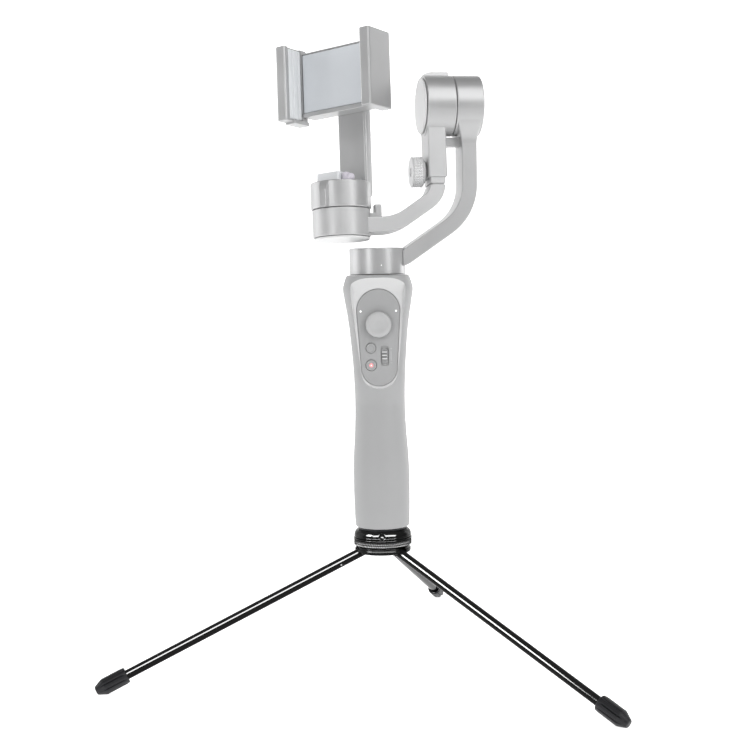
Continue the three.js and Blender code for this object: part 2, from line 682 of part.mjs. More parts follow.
// A leg lies along +X from its pin. Its end is flattened to a tongue that fits the hub's slot.
function buildLeg(parent, name) {
  const rodEnd = LEG_LENGTH - 8.0;
  const rod = alongX(chamferedCylinder(LEG_ROD_R, [4.0, rodEnd], 0.4, SMALL_ROUND));
  const tongue = union(
    cylinder(LEG_TONGUE_R, [-LEG_ROD_R, LEG_ROD_R], INNER_ROUND).rotate([90, 0, 0]),
    box([0, 5.0], [-LEG_ROD_R + 0.1, LEG_ROD_R - 0.1], [-LEG_TONGUE_R, LEG_TONGUE_R]),
  );
  const hole = cylinder(PIN_HOLE_R, [-5, 5], INNER_ROUND).rotate([90, 0, 0]);
  place(parent, `leg_${name}`, rod.add(tongue).subtract(hole), look.black());

  const sleeve = LEG_LENGTH - FOOT_LENGTH;
  const bore = LEG_ROD_R + GAP;
  const foot = lathe([
    [0, rodEnd + GAP], [bore, rodEnd + GAP], [bore, sleeve], [FOOT_R - 0.8, sleeve],
    [FOOT_R - 0.2, sleeve + 1.0], [FOOT_R, sleeve + 4.0], [FOOT_R, LEG_LENGTH - 5.6],
    [FOOT_R - 0.5, LEG_LENGTH - 4.4], [FOOT_R - 2.2, LEG_LENGTH - 0.6], [FOOT_R - 2.9, LEG_LENGTH],
    [0, LEG_LENGTH],
  ], INNER_ROUND);
  place(parent, `foot_${name}`, alongX(foot), look.darkRubber());
}

// ---------------------------------------------------------------- pan arm

// The neck that runs from the drum's round side down to the flat front and back of the arm.
function neck() {
  const bottom = -28.0;
  const touch = { y: 15.2, z: -10.6 };
  const side = new THREE.Shape();
  side.moveTo(-touch.y, touch.z);
  side.lineTo(-ARM_HALF_DEPTH, bottom);
  side.lineTo(ARM_HALF_DEPTH, bottom);
  side.lineTo(touch.y, touch.z);
  side.closePath();
  const [left, right] = [ROLL_ARM_X - ARM_THICKNESS / 2, ROLL_ARM_X + ARM_THICKNESS / 2];
  return upright(prism(side, [left, right], BEVEL)).rotate([0, 0, 90]).translate([0, 0, ROLL_AXIS_Z]);
}

function buildPanArm(parent, panMotor) {
  const roof = PAN_BOTTOM + PAN_DEPTH;
  const housing = lathe([
    [0, roof], [MOTOR_BORE_R, roof], [MOTOR_BORE_R, PAN_BOTTOM], [PAN_R - 0.4, PAN_BOTTOM],
    [PAN_R, PAN_BOTTOM + 0.4], [PAN_R, PAN_TOP - 0.8], [PAN_R - 0.8, PAN_TOP], [0, PAN_TOP],
  ]);
  place(parent, 'pan_housing', housing, look.cast());
  const motor = nest(parent, [0, 0, PAN_BOTTOM], [0, 0, 0]);
  place(motor, 'pan_magnets', panMotor.magnets, look.steel());
  place(motor, 'pan_shaft', panMotor.shaft, look.steel());

  const bar = bentBar([
    { x: 2.0, z: 182.6 },
    { x: 14.5, z: 182.6, radius: 14 },
    { x: ROLL_ARM_X, z: 211.5, radius: 32 },
    { x: ROLL_ARM_X, z: ROLL_AXIS_Z - 10 },
  ], ARM_THICKNESS, ARM_HALF_DEPTH, BEVEL);
  const drum = alongX(chamferedCylinder(ROLL_R, [ROLL_SEAM + GAP / 2, ROLL_RIGHT_END], BEVEL))
    .translate([0, 0, ROLL_AXIS_Z]);
  const stop = roundedBox([43.5, 54], [-4, 4], [-25.2, -19.7], 0.8).translate([0, 0, ROLL_AXIS_Z]);
  const hollow = alongX(cylinder(MOTOR_BORE_R, [ROLL_SEAM - 1, ROLL_RIGHT_END - 4]))
    .translate([0, 0, ROLL_AXIS_Z]);
  const capSeat = alongX(cylinder(FACE_DISC_R - 1, [ROLL_RIGHT_END - 1.4, ROLL_RIGHT_END + 1]))
    .translate([0, 0, ROLL_AXIS_Z]);
  const motorRoom = cylinder(PAN_R + GAP, [PAN_BOTTOM - 10, PAN_TOP + 10]);
  const casting = union(bar, drum, neck(), stop).subtract(union(hollow, capSeat)).subtract(motorRoom);
  place(parent, 'pan_arm', casting, look.cast());
  const cap = alongX(cylinder(FACE_DISC_R - 1 - GAP, [ROLL_RIGHT_END - 1.1, ROLL_RIGHT_END]))
    .translate([0, 0, ROLL_AXIS_Z]);
  place(parent, 'roll_end_cap', cap, look.disc());
}

// ---------------------------------------------------------------- roll arm

// The roll motor's stator sits to the right of the seam and its rotor to the left.
function buildRollMotor(fixed, turning) {
  const inside = motorInside({ seatRadius: STATOR_SEAT_R, seatDepth: 12.5, rotorDepth: ROLL_DEPTH });
  const seam = nest(fixed, [ROLL_SEAM, 0, 0], [0, -Math.PI / 2, 0]);
  place(seam, 'roll_stator', inside.stator, look.copper());
  place(seam, 'roll_bearing', inside.bearing, look.steel());
  const rotor = nest(turning, [ROLL_SEAM, 0, 0], [0, -Math.PI / 2, 0]);
  place(rotor, 'roll_magnets', inside.magnets, look.steel());
  place(rotor, 'roll_shaft', inside.shaft, look.steel());
}

function buildRollArm(parent) {
  const drum = alongX(chamferedCylinder(ROLL_R, [ROLL_LEFT_END, ROLL_SEAM - GAP / 2], BEVEL));
  const hollow = alongX(cylinder(MOTOR_BORE_R, [ROLL_SEAM - ROLL_DEPTH, ROLL_SEAM + 1]));
  const ridge = stopRidge(ROLL_R, ROLL_RIDGE_PROUD, [-46.8, -ROLL_LEFT_END])
    .rotate([0, -90, 0])
    .rotate([-90, 0, 0]);
  const sleeveBox = roundedBox(
    [SLIDE_X - SLEEVE_HALF_WIDTH, SLIDE_X + SLEEVE_HALF_WIDTH],
    [-SLEEVE_HALF_DEPTH, SLEEVE_HALF_DEPTH],
    [SLEEVE_BOTTOM, -13.5],
    1.0,
  );
  const slotHalf = ARM_THICKNESS / 2 + GAP;
  const slot = box(
    [SLIDE_X - slotHalf, SLIDE_X + slotHalf],
    [-ARM_HALF_DEPTH - GAP, ARM_HALF_DEPTH + GAP],
    [SLEEVE_BOTTOM - 1, SLOT_TOP],
  );
  const knobHole = alongX(cylinder(2.8, [SLIDE_X - 8, SLIDE_X], SMALL_ROUND)).translate([0, 0, KNOB.z]);
  const housing = union(drum, ridge, sleeveBox).subtract(union(hollow, slot, knobHole));
  place(parent, 'roll_housing', housing, look.cast());
  const disc = alongX(cylinder(FACE_DISC_R, [ROLL_DISC_END, ROLL_LEFT_END - GAP]));
  place(parent, 'roll_face_disc', disc, look.disc());
}

// The knob clamps the sliding arm through the wall of its sleeve.
function buildKnob(parent) {
  const seat = nest(parent, [0, 0, KNOB.z], [0, Math.PI / 2, 0]);
  const grip = prism(toothedShape(KNOB.r, 0.5, 20), [KNOB.face, KNOB.face + KNOB.length]);
  const neckEnd = SLIDE_X - SLEEVE_HALF_WIDTH - GAP;
  const neck = lathe([
    [0, KNOB.face + 6], [KNOB.r - 0.5, KNOB.face + 6], [KNOB.r - 0.5, KNOB.face + KNOB.length],
    [5.5, neckEnd], [0, neckEnd],
  ], SMALL_ROUND);
  const screw = cylinder(2.5, [KNOB.face + 6, SLIDE_X - ARM_THICKNESS / 2 - GAP], SMALL_ROUND);
  const recess = cylinder(2.8, [KNOB.face - 1, KNOB.face + 1.2], SMALL_ROUND);
  place(seat, 'arm_knob', union(grip, neck, screw).subtract(recess), look.cast());
}

// ---------------------------------------------------------------- tilt arm

function buildTiltArm(parent) {
  const bar = bentBar([
    { x: SLIDE_X, z: TONGUE_TOP },
    { x: SLIDE_X, z: -56.2, radius: 14 },
    { x: 10.2, z: -74.05, radius: 30 },
    { x: -12, z: -74.05 },
  ], ARM_THICKNESS, ARM_HALF_DEPTH, BEVEL);
  const drum = chamferedCylinder(TILT_STATOR_R, [TILT_BOTTOM, TILT_SEAM - GAP / 2], BEVEL)
    .translate([TILT_AXIS_X, 0, 0]);
  const hollow = cylinder(MOTOR_BORE_R, [TILT_BOTTOM + 3.5, TILT_SEAM + 1])
    .translate([TILT_AXIS_X, 0, 0]);
  const tabInner = TILT_AXIS_X + TILT_ROTOR_R + 0.6;
  const tab = union(
    roundedBox([tabInner + 1.2, tabInner + 5.6], [-3.5, 3.5], [-72, -61], 0.9, BEVEL),
    box([tabInner - 2, tabInner + 3], [-3.5, 3.5], [-71.4, -66.2]),
  );
  place(parent, 'tilt_arm', union(bar, drum, tab).subtract(hollow), look.paleCast());
  const cover = cylinder(FACE_DISC_R, [TILT_COVER_BOTTOM, TILT_BOTTOM - GAP])
    .translate([TILT_AXIS_X, 0, 0]);
  place(parent, 'tilt_cover', cover, look.disc());
}

function buildTiltMotor(fixed, turning) {
  const inside = motorInside({ seatRadius: STATOR_SEAT_R, seatDepth: 13.0, rotorDepth: TILT_DEPTH });
  const seam = nest(fixed, [TILT_AXIS_X, 0, TILT_SEAM], [0, 0, 0]);
  place(seam, 'tilt_stator', inside.stator, look.copper());
  place(seam, 'tilt_bearing', inside.bearing, look.steel());
  const rotor = nest(turning, [0, 0, TILT_SEAM - TILT_ROTOR_TOP], [0, 0, 0]);
  place(rotor, 'tilt_magnets', inside.magnets, look.steel());
  place(rotor, 'tilt_shaft', inside.shaft, look.steel());
}

// ---------------------------------------------------------------- phone clamp

function buildClampBase(parent) {
  const bottom = TILT_SEAM + GAP / 2 - TILT_ROTOR_TOP;
  const shell = chamferedCylinder(TILT_ROTOR_R, [bottom, 0], BEVEL);
  const hollow = cylinder(MOTOR_BORE_R, [bottom - 1, TILT_SEAM - TILT_ROTOR_TOP + TILT_DEPTH]);
  const ridge = stopRidge(TILT_ROTOR_R, TILT_RIDGE_PROUD, [bottom, -0.6]).rotate([0, 0, TILT_RIDGE_TURN]);
  place(parent, 'tilt_housing', shell.add(ridge).subtract(hollow), look.cast());

  place(parent, 'rest_pad', roundedBox([-11.5, 5.2], [-9, -0.5], [GAP, 6.4], 1.2, 0.5), look.palePad());
  place(parent, 'cable_boot', roundedBox([5.6, 12.4], [-6, -0.5], [GAP, 5.6], 2.4, 0.8), look.lilac());

  const back = new THREE.Shape();
  back.moveTo(BODY_BACK + GAP, POST_TOP);
  back.lineTo(BODY_BACK + GAP, GAP);
  back.lineTo(BODY_BACK + GAP, POST_BOTTOM);
  back.lineTo(POST_BACK - 2.6, POST_BOTTOM);
  back.quadraticCurveTo(POST_BACK, POST_BOTTOM + 1.5, POST_BACK, POST_BOTTOM + 9);
  back.lineTo(POST_BACK, POST_TOP - 3);
  back.quadraticCurveTo(POST_BACK, POST_TOP, POST_BACK - 3, POST_TOP);
  back.closePath();
  const bar = upright(prism(back, [-POST_HALF_WIDTH, POST_HALF_WIDTH], BEVEL)).rotate([0, 0, 90]);
  const motorRoom = cylinder(TILT_ROTOR_R + GAP, [POST_BOTTOM - 5, GAP]);
  place(parent, 'clamp_post', bar.subtract(motorRoom), look.cast());
}

const SLIDE_CHANNEL = { front: 5.2, back: 10.7, bottom: 52, top: 78 };
const SPRING_POCKET = { x: [-24, 22], y: [5.8, 10.2], z: [45.9, 51.2] };

const PAD_SEAT_Y = [-12.0, 0.6];
const PAD_SEAT_Z = [JAW_BOTTOM + 1.4, JAW_TOP + 1];      // open at the top
const PAD_TOP_EDGE = JAW_TOP - 1.2;

// One jaw with a pad seat on the side that faces +X.
function jawBlock(outer, inner) {
  const seatDepth = 2.0;
  const block = roundedBox([outer, inner], [JAW_FRONT, JAW_BACK], [JAW_BOTTOM, JAW_TOP], 1.2, 0.5);
  const seat = box([inner - seatDepth, inner + 2], PAD_SEAT_Y, PAD_SEAT_Z);
  return block.subtract(seat);
}

// The ribbed rubber pad that lies in the seat.
function jawPad(inner) {
  const [y0, y1] = [PAD_SEAT_Y[0] + GAP, PAD_SEAT_Y[1] - GAP];
  const height = [PAD_SEAT_Z[0] + GAP, PAD_TOP_EDGE];
  const base = box([inner - 1.7, inner - 0.6], [y0, y1], height);
  const pitch = (y1 - y0) / 4;
  const ribs = [0, 1, 2].map((i) => {
    const y = y0 + (i + 1) * pitch;
    return box([inner - 0.8, inner - 0.1], [y - 0.9, y + 0.9], height);
  });
  return union(base, ...ribs);
}

function buildClamp(parent) {
  const plateBack = PLATE_FACE + PLATE_THICKNESS;
  const body = roundedBox(
    [JAW_GAP - JAW_INNER, BODY_RIGHT],
    [plateBack + GAP, BODY_BACK],
    [BODY_BOTTOM, BODY_TOP],
    1.0,
    0.5,
  );
  const channel = box(
    [-30, 24],
    [SLIDE_CHANNEL.front, SLIDE_CHANNEL.back],
    [SLIDE_CHANNEL.bottom, SLIDE_CHANNEL.top],
  );
  const pocket = box(SPRING_POCKET.x, SPRING_POCKET.y, [SPRING_POCKET.z[0], SLIDE_CHANNEL.bottom + 1]);
  const lipEnds = [JAW_GAP - JAW_INNER, JAW_INNER + 1];
  const lowerLip = box(lipEnds, [LIP_FACE, plateBack + 1], [BODY_BOTTOM, LOWER_LIP_TOP]);
  const upperLip = box(lipEnds, [PLATE_FACE, plateBack + 1], [UPPER_LIP_BOTTOM, BODY_TOP]);
  const fixedJaw = jawBlock(-JAW_OUTER, -JAW_INNER).mirror([1, 0, 0]);
  const casting = union(body, lowerLip, upperLip, fixedJaw).subtract(union(channel, pocket));
  place(parent, 'clamp_body', casting, look.cast());
  place(parent, 'fixed_jaw_pad', jawPad(-JAW_INNER).mirror([1, 0, 0]), look.palePad());
  const plate = box(
    [JAW_GAP - JAW_INNER, JAW_INNER - GAP],
    [PLATE_FACE, plateBack],
    [LOWER_LIP_TOP + GAP, UPPER_LIP_BOTTOM - GAP],
  );
  place(parent, 'back_plate', plate, look.slate());
  place(parent, 'jaw_spring', jawSpring(), look.steel());
}

// The tension spring that draws the moving jaw in, lying below its slide.
function jawSpring() {
  class Coil extends THREE.Curve {
    getPoint(t, target = new THREE.Vector3()) {
      const turns = 4.5;
      const radius = 1.5;
      const angle = 2 * Math.PI * turns * t;
      return target.set(-22 + 42 * t, 8 + radius * Math.cos(angle), 48.6 + radius * Math.sin(angle));
    }
  }
  const wire = new THREE.Shape().absarc(0, 0, 0.45, 0, 2 * Math.PI);
  return solid(new THREE.ExtrudeGeometry(wire, {
    steps: 44,
    curveSegments: 3,
    bevelEnabled: false,
    extrudePath: new Coil(),
  }));
}

function buildMovingJaw(parent) {
  const { front, back, bottom, top } = SLIDE_CHANNEL;
  const slide = box([-34, 19], [front + GAP, back - GAP], [bottom + GAP, top - GAP]);
  const foot = roundedBox(
    [0.5 - JAW_OUTER, 0.9 - JAW_INNER],
    [-8, JAW_BACK - 0.4],
    [JAW_BOTTOM - 1.1, JAW_BOTTOM + 1.4],
    0.4,
  );
  const jaw = union(jawBlock(-JAW_OUTER, -JAW_INNER), slide, foot);
  place(parent, 'moving_jaw', jaw, look.cast());
  place(parent, 'moving_jaw_pad', jawPad(-JAW_INNER), look.palePad());
}

// ---------------------------------------------------------------- assembly

const gimbal = new THREE.Group();

buildTripod(gimbal);
const panMotor = buildHandle(gimbal);
buildControls(gimbal);

const panFrame = nest(gimbal, [0, 0, 0], [0, 0, PAN_TURN]);
buildPanArm(panFrame, panMotor);

const rollSeat = nest(panFrame, [0, 0, ROLL_AXIS_Z], [0, 0, 0]);
const rollFrame = nest(rollSeat, [0, 0, 0], [ROLL_LEAN, 0, 0]);
buildRollMotor(rollSeat, rollFrame);
buildRollArm(rollFrame);
buildKnob(rollFrame);

buildTiltArm(rollFrame);
const clampFrame = nest(rollFrame, [TILT_AXIS_X, 0, TILT_ROTOR_TOP], [0, 0, TILT_TURN]);
buildTiltMotor(rollFrame, clampFrame);
buildClampBase(clampFrame);
buildClamp(clampFrame);
buildMovingJaw(clampFrame);

export default gimbal;
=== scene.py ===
# Looks for a handheld phone stabilizer that stands on a folding mini tripod.
#
# Shapes are drawn in millimetres in the frame of the body that they belong to, and the frames come
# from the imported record's joints. Most visible pieces stand for the CAD node in the same place.

import json
import math

import bmesh
import bpy
from mathutils import Matrix, Vector
from mathutils.bvhtree import BVHTree


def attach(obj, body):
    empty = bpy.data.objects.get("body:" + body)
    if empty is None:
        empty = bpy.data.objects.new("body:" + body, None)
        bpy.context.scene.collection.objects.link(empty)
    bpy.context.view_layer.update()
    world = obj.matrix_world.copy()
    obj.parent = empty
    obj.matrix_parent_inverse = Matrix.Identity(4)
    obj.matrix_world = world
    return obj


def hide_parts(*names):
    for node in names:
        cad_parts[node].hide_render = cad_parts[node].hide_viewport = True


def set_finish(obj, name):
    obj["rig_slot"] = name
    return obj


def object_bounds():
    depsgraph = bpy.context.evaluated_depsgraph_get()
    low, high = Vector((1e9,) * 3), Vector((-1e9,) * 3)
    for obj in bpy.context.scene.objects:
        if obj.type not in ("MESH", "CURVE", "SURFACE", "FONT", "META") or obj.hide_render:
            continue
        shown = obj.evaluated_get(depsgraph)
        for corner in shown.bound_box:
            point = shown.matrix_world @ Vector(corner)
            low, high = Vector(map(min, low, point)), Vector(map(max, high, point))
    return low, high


MM = 0.001
ROUND = 128          # sides of a large round piece
FINE = 48            # sides of a small one
CREASE = math.radians(34)

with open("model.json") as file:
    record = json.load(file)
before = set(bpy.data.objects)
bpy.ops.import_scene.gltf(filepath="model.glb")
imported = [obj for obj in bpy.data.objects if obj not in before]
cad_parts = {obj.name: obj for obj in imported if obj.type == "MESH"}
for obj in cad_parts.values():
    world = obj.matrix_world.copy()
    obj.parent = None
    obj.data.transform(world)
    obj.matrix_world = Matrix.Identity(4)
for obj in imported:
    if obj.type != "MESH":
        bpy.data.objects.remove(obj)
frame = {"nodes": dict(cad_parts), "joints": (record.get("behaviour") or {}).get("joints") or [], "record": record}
cad_box = [list(corner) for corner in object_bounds()]
joints = {joint["name"]: joint for joint in frame["joints"]}


# ---------------------------------------------------------------- frames

def frame_at(origin, x_axis, z_axis):
    """The frame with that origin in metres, as a matrix from its millimetres to the row's metres."""
    x, z = Vector(x_axis).normalized(), Vector(z_axis).normalized()
    turn = Matrix((x, z.cross(x), z)).transposed().to_4x4()
    return Matrix.Translation(Vector(origin)) @ turn @ Matrix.Scale(MM, 4)


def shifted(x, y, z):
    return Matrix.Translation((x, y, z))


def turned(axis, degrees):
    return Matrix.Rotation(math.radians(degrees), 4, axis)


UP = Vector((0, 0, 1))
ROLL_AXIS = -Vector(joints["roll"]["axis"])
ROLL_SEAM = 48.45
ROLL_CENTRE = Vector(joints["roll"]["pos_m"]) - ROLL_AXIS * ROLL_SEAM * MM
TILT_AXIS = Vector(joints["tilt"]["axis"])
TILT_SEAM_DROP = 16.25
HANDLE = Matrix.Scale(MM, 4)
PAN = frame_at((0, 0, 0), ROLL_AXIS, UP)
ROLL = frame_at(ROLL_CENTRE, ROLL_AXIS, -Vector(joints["arm_slide"]["axis"]))
CLAMP = frame_at(
    Vector(joints["tilt"]["pos_m"]) + TILT_AXIS * TILT_SEAM_DROP * MM,
    -Vector(joints["jaw_slide"]["axis"]),
    TILT_AXIS,
)
ROLL_Z = ROLL_CENTRE.z / MM


# ---------------------------------------------------------------- outlines

def softened(points, closed=False, steps=5):
    """A line of (x, y) or (x, y, r): a corner with r is rounded by a curve that starts r before it."""
    line = []
    count = len(points)
    for i, point in enumerate(points):
        here = Vector(point[:2])
        reach = point[2] if len(point) > 2 else 0
        if not reach or (not closed and i in (0, count - 1)):
            line.append(here)
            continue
        before = Vector(points[i - 1][:2])
        after = Vector(points[(i + 1) % count][:2])
        start = here + (before - here).normalized() * reach
        end = here + (after - here).normalized() * reach
        for k in range(steps + 1):
            t = k / steps
            line.append(start * (1 - t) ** 2 + here * 2 * t * (1 - t) + end * t * t)
    return [(p.x, p.y) for p in line]


def without_doubles(outline):
    kept = []
    for point in outline:
        if not kept or math.dist(point, kept[-1]) > 1e-5:
            kept.append(point)
    if math.dist(kept[0], kept[-1]) < 1e-5:
        kept.pop()
    return kept


def offset(outline, distance):
    """A closed outline that runs anticlockwise, moved outwards by distance."""
    moved = []
    count = len(outline)
    for i, point in enumerate(outline):
        here = Vector(point)
        along_in = (here - Vector(outline[i - 1])).normalized()
        along_out = (Vector(outline[(i + 1) % count]) - here).normalized()
        out_in = Vector((along_in.y, -along_in.x))
        out_out = Vector((along_out.y, -along_out.x))
        mitre = (out_in + out_out) / (1 + max(-0.7, out_in.dot(out_out)))
        moved.append(tuple(here + mitre * distance))
    return moved


def arc(cx, cy, radius, start, end, steps=24):
    return [
        (cx + radius * math.cos(a), cy + radius * math.sin(a))
        for a in (start + (end - start) * k / steps for k in range(steps + 1))
    ]


def rounded_rectangle(half_x, half_y, radius, steps=8):
    quarter = math.pi / 2
    outline = []
    for i, (sx, sy) in enumerate(((1, 1), (-1, 1), (-1, -1), (1, -1))):
        centre = (sx * (half_x - radius), sy * (half_y - radius))
        outline += arc(*centre, radius, i * quarter, (i + 1) * quarter, steps)
    return outline


def bent_line(corners, step=math.radians(5)):
    """The middle line of a bar, of (x, z, radius) corners: straight stretches joined by arcs."""
    line = []
    for i, (x, z, radius) in enumerate(corners):
        here = Vector((x, z))
        if not radius:
            line.append(here)
            continue
        before = (Vector(corners[i - 1][:2]) - here).normalized()
        after = (Vector(corners[i + 1][:2]) - here).normalized()
        half = math.acos(before.dot(after)) / 2
        centre = here + (before + after).normalized() * radius / math.sin(half)
        start = here + before * radius / math.tan(half) - centre
        turn = math.pi - 2 * half
        sense = -1 if before.cross(after) > 0 else 1
        steps = max(2, math.ceil(turn / step))
        for k in range(steps + 1):
            line.append(centre + Matrix.Rotation(sense * turn * k / steps, 2) @ start)
    return line


def bar_outline(corners, thickness):
    line = bent_line(corners)
    sides = ([], [])
    for i, point in enumerate(line):
        along = (line[min(i + 1, len(line) - 1)] - line[max(i - 1, 0)]).normalized()
        across = Vector((-along.y, along.x)) * thickness / 2
        sides[0].append(tuple(point + across))
        sides[1].append(tuple(point - across))
    return sides[1] + sides[0][::-1]


# ---------------------------------------------------------------- solids

class Solid:
    """Corners in millimetres and the faces between them."""

    def __init__(self, corners, faces):
        self.corners = [Vector(c) for c in corners]
        self.faces = faces

    def at(self, matrix):
        return Solid([matrix @ c for c in self.corners], self.faces)


def lathe(profile, sides=ROUND, shape=None):
    """An outline of (radius, height) turned about Z. shape(angle, r, z) may give each radius."""
    corners, rings = [], []
    for r, z in profile:
        if r < 1e-6:
            rings.append([len(corners)])
            corners.append((0, 0, z))
            continue
        rings.append(list(range(len(corners), len(corners) + sides)))
        for k in range(sides):
            a = 2 * math.pi * k / sides
            radius = shape(a, r, z) if shape else r
            corners.append((radius * math.cos(a), radius * math.sin(a), z))
    pairs = list(zip(rings, rings[1:]))
    if profile[0][0] >= 1e-6:
        pairs.append((rings[-1], rings[0]))
    faces = []
    for lower, upper in pairs:
        if len(lower) == 1 and len(upper) == 1:
            continue
        for k in range(sides):
            j = (k + 1) % sides
            if len(lower) == 1:
                faces.append((lower[0], upper[j], upper[k]))
            elif len(upper) == 1:
                faces.append((lower[k], lower[j], upper[0]))
            else:
                faces.append((lower[k], lower[j], upper[j], upper[k]))
    return Solid(corners, faces)


def cylinder(radius, z0, z1, fillet=0.0, sides=ROUND):
    flat = radius - 2.5 * fillet if fillet else 0
    rim = [(radius, z0, fillet), (radius, z1, fillet)]
    if flat > 0:
        rim = [(flat, z0), *rim, (flat, z1)]
    return lathe(softened([(0, z0), *rim, (0, z1)]), sides)


def stack(rings):
    """A solid through closed rings of corners, with its two ends capped."""
    count = len(rings[0])
    corners = [c for ring in rings for c in ring]
    faces = [tuple(reversed(range(count)))]
    for level in range(len(rings) - 1):
        low, high = level * count, (level + 1) * count
        for k in range(count):
            j = (k + 1) % count
            faces.append((low + k, low + j, high + j, high + k))
    faces.append(tuple(range((len(rings) - 1) * count, len(rings) * count)))
    return Solid(corners, faces)


def prism(outline, z0, z1, fillet=0.0, steps=4):
    """An outline in XY pulled up along Z, with both rims rounded by fillet."""
    outline = without_doubles(outline)
    levels = [(z0, 0.0), (z1, 0.0)]
    if fillet:
        quarter = [math.pi / 2 * k / steps for k in range(steps + 1)]
        curve = [(fillet * (1 - math.sin(a)), fillet * (1 - math.cos(a))) for a in quarter]
        levels = [(z0 + rise, -inset) for inset, rise in curve]
        levels += [(z1 - rise, -inset) for inset, rise in reversed(curve)]
    return stack([[(x, y, z) for x, y in offset(outline, d)] for z, d in levels])


def box(x, y, z, radius=0.0, fillet=0.0):
    """A block between the two limits on each axis, with rounded uprights and rims."""
    half_x, half_y = (x[1] - x[0]) / 2, (y[1] - y[0]) / 2
    if radius:
        outline = rounded_rectangle(half_x, half_y, radius)
    else:
        outline = [(half_x, half_y), (-half_x, half_y), (-half_x, -half_y), (half_x, -half_y)]
    block = prism(outline, z[0], z[1], fillet)
    return block.at(shifted((x[0] + x[1]) / 2, (y[0] + y[1]) / 2, 0))


ALONG_X = turned("Y", 90)
UPRIGHT = turned("X", 90)      # an outline drawn in XZ, pulled along -Y


def scratch(solid):
    mesh = bpy.data.meshes.new("scratch")
    mesh.from_pydata([tuple(c) for c in solid.corners], [], solid.faces)
    piece = bpy.data.objects.new("scratch", mesh)
    bpy.context.scene.collection.objects.link(piece)
    return piece


def boolean(base, tool, operation):
    target, cutter = scratch(base), scratch(tool)
    modifier = target.modifiers.new("boolean", "BOOLEAN")
    modifier.object = cutter
    modifier.operation = operation
    modifier.solver = "MANIFOLD"
    graph = bpy.context.evaluated_depsgraph_get()
    mesh = bpy.data.meshes.new_from_object(target.evaluated_get(graph))
    result = Solid([v.co.copy() for v in mesh.vertices], [tuple(p.vertices) for p in mesh.polygons])
    for piece in (target, cutter):
        bpy.data.meshes.remove(piece.data)
    bpy.data.meshes.remove(mesh)
    return result


def union(first, *others):
    for other in others:
        first = boolean(first, other, "UNION")
    return first


def cut(base, *tools):
    for tool in tools:
        base = boolean(base, tool, "DIFFERENCE")
    return base


def common(first, second):
    return boolean(first, second, "INTERSECT")


def together(*solids):
    """Separate solids in one piece."""
    corners, faces = [], []
    for solid in solids:
        start = len(corners)
        corners += solid.corners
        faces += [tuple(start + i for i in face) for face in solid.faces]
    return Solid(corners, faces)


# ---------------------------------------------------------------- materials

class Nodes:
    """A material's node tree, with its shader and a few things that most finishes use."""

    def __init__(self, name):
        self.material = bpy.data.materials.new(name)
        self.material.use_nodes = True
        self.tree = self.material.node_tree
        self.shader = self.tree.nodes["Principled BSDF"]
        self.place = self.add("ShaderNodeTexCoord").outputs["Object"]

    def add(self, kind, **settings):
        node = self.tree.nodes.new(kind)
        for key, value in settings.items():
            setattr(node, key, value)
        return node

    def link(self, source, target):
        self.tree.links.new(source, target)

    def noise(self, scale, detail=3.0, roughness=0.55, stretch=(1, 1, 1)):
        mapping = self.add("ShaderNodeMapping")
        mapping.inputs["Scale"].default_value = stretch
        self.link(self.place, mapping.inputs["Vector"])
        texture = self.add("ShaderNodeTexNoise")
        texture.inputs["Scale"].default_value = scale
        texture.inputs["Detail"].default_value = detail
        texture.inputs["Roughness"].default_value = roughness
        self.link(mapping.outputs["Vector"], texture.inputs["Vector"])
        return texture.outputs["Fac"]

    def ramp(self, source, low, high, start=0.3, end=0.7):
        """source spread from low to high, as a number or a colour."""
        ramp = self.add("ShaderNodeMapRange", clamp=True)
        ramp.inputs["From Min"].default_value = start
        ramp.inputs["From Max"].default_value = end
        ramp.inputs["To Min"].default_value = low
        ramp.inputs["To Max"].default_value = high
        self.link(source, ramp.inputs["Value"])
        return ramp.outputs["Result"]

    def mix(self, factor, first, second):
        mix = self.add("ShaderNodeMix", data_type="RGBA")
        self.link(factor, mix.inputs["Factor"])
        for socket, value in zip((mix.inputs[6], mix.inputs[7]), (first, second)):
            if isinstance(value, tuple):
                socket.default_value = (*value, 1)
            else:
                self.link(value, socket)
        return mix.outputs[2]

    def bump(self, source, strength, depth):
        bump = self.add("ShaderNodeBump")
        bump.inputs["Strength"].default_value = strength
        bump.inputs["Distance"].default_value = depth
        self.link(source, bump.inputs["Height"])
        previous = self.shader.inputs["Normal"]
        if previous.is_linked:
            self.link(previous.links[0].from_socket, bump.inputs["Normal"])
        self.link(bump.outputs["Normal"], previous)

    def edge_wear_and_glint_mask(self):
        """1 on a convex edge and 0 elsewhere, broken up so that it is uneven: edge wear, and on the knurl a
        painted glint.
        """
        pointiness = self.add("ShaderNodeNewGeometry").outputs["Pointiness"]
        edge = self.ramp(pointiness, 0.0, 1.0, 0.52, 0.60)
        product = self.add("ShaderNodeMath", operation="MULTIPLY")
        self.link(edge, product.inputs[0])
        self.link(self.ramp(self.noise(900), 0.35, 1.0), product.inputs[1])
        return product.outputs["Value"]


def shade(color, factor):
    return tuple(min(1.0, c * factor) for c in color)


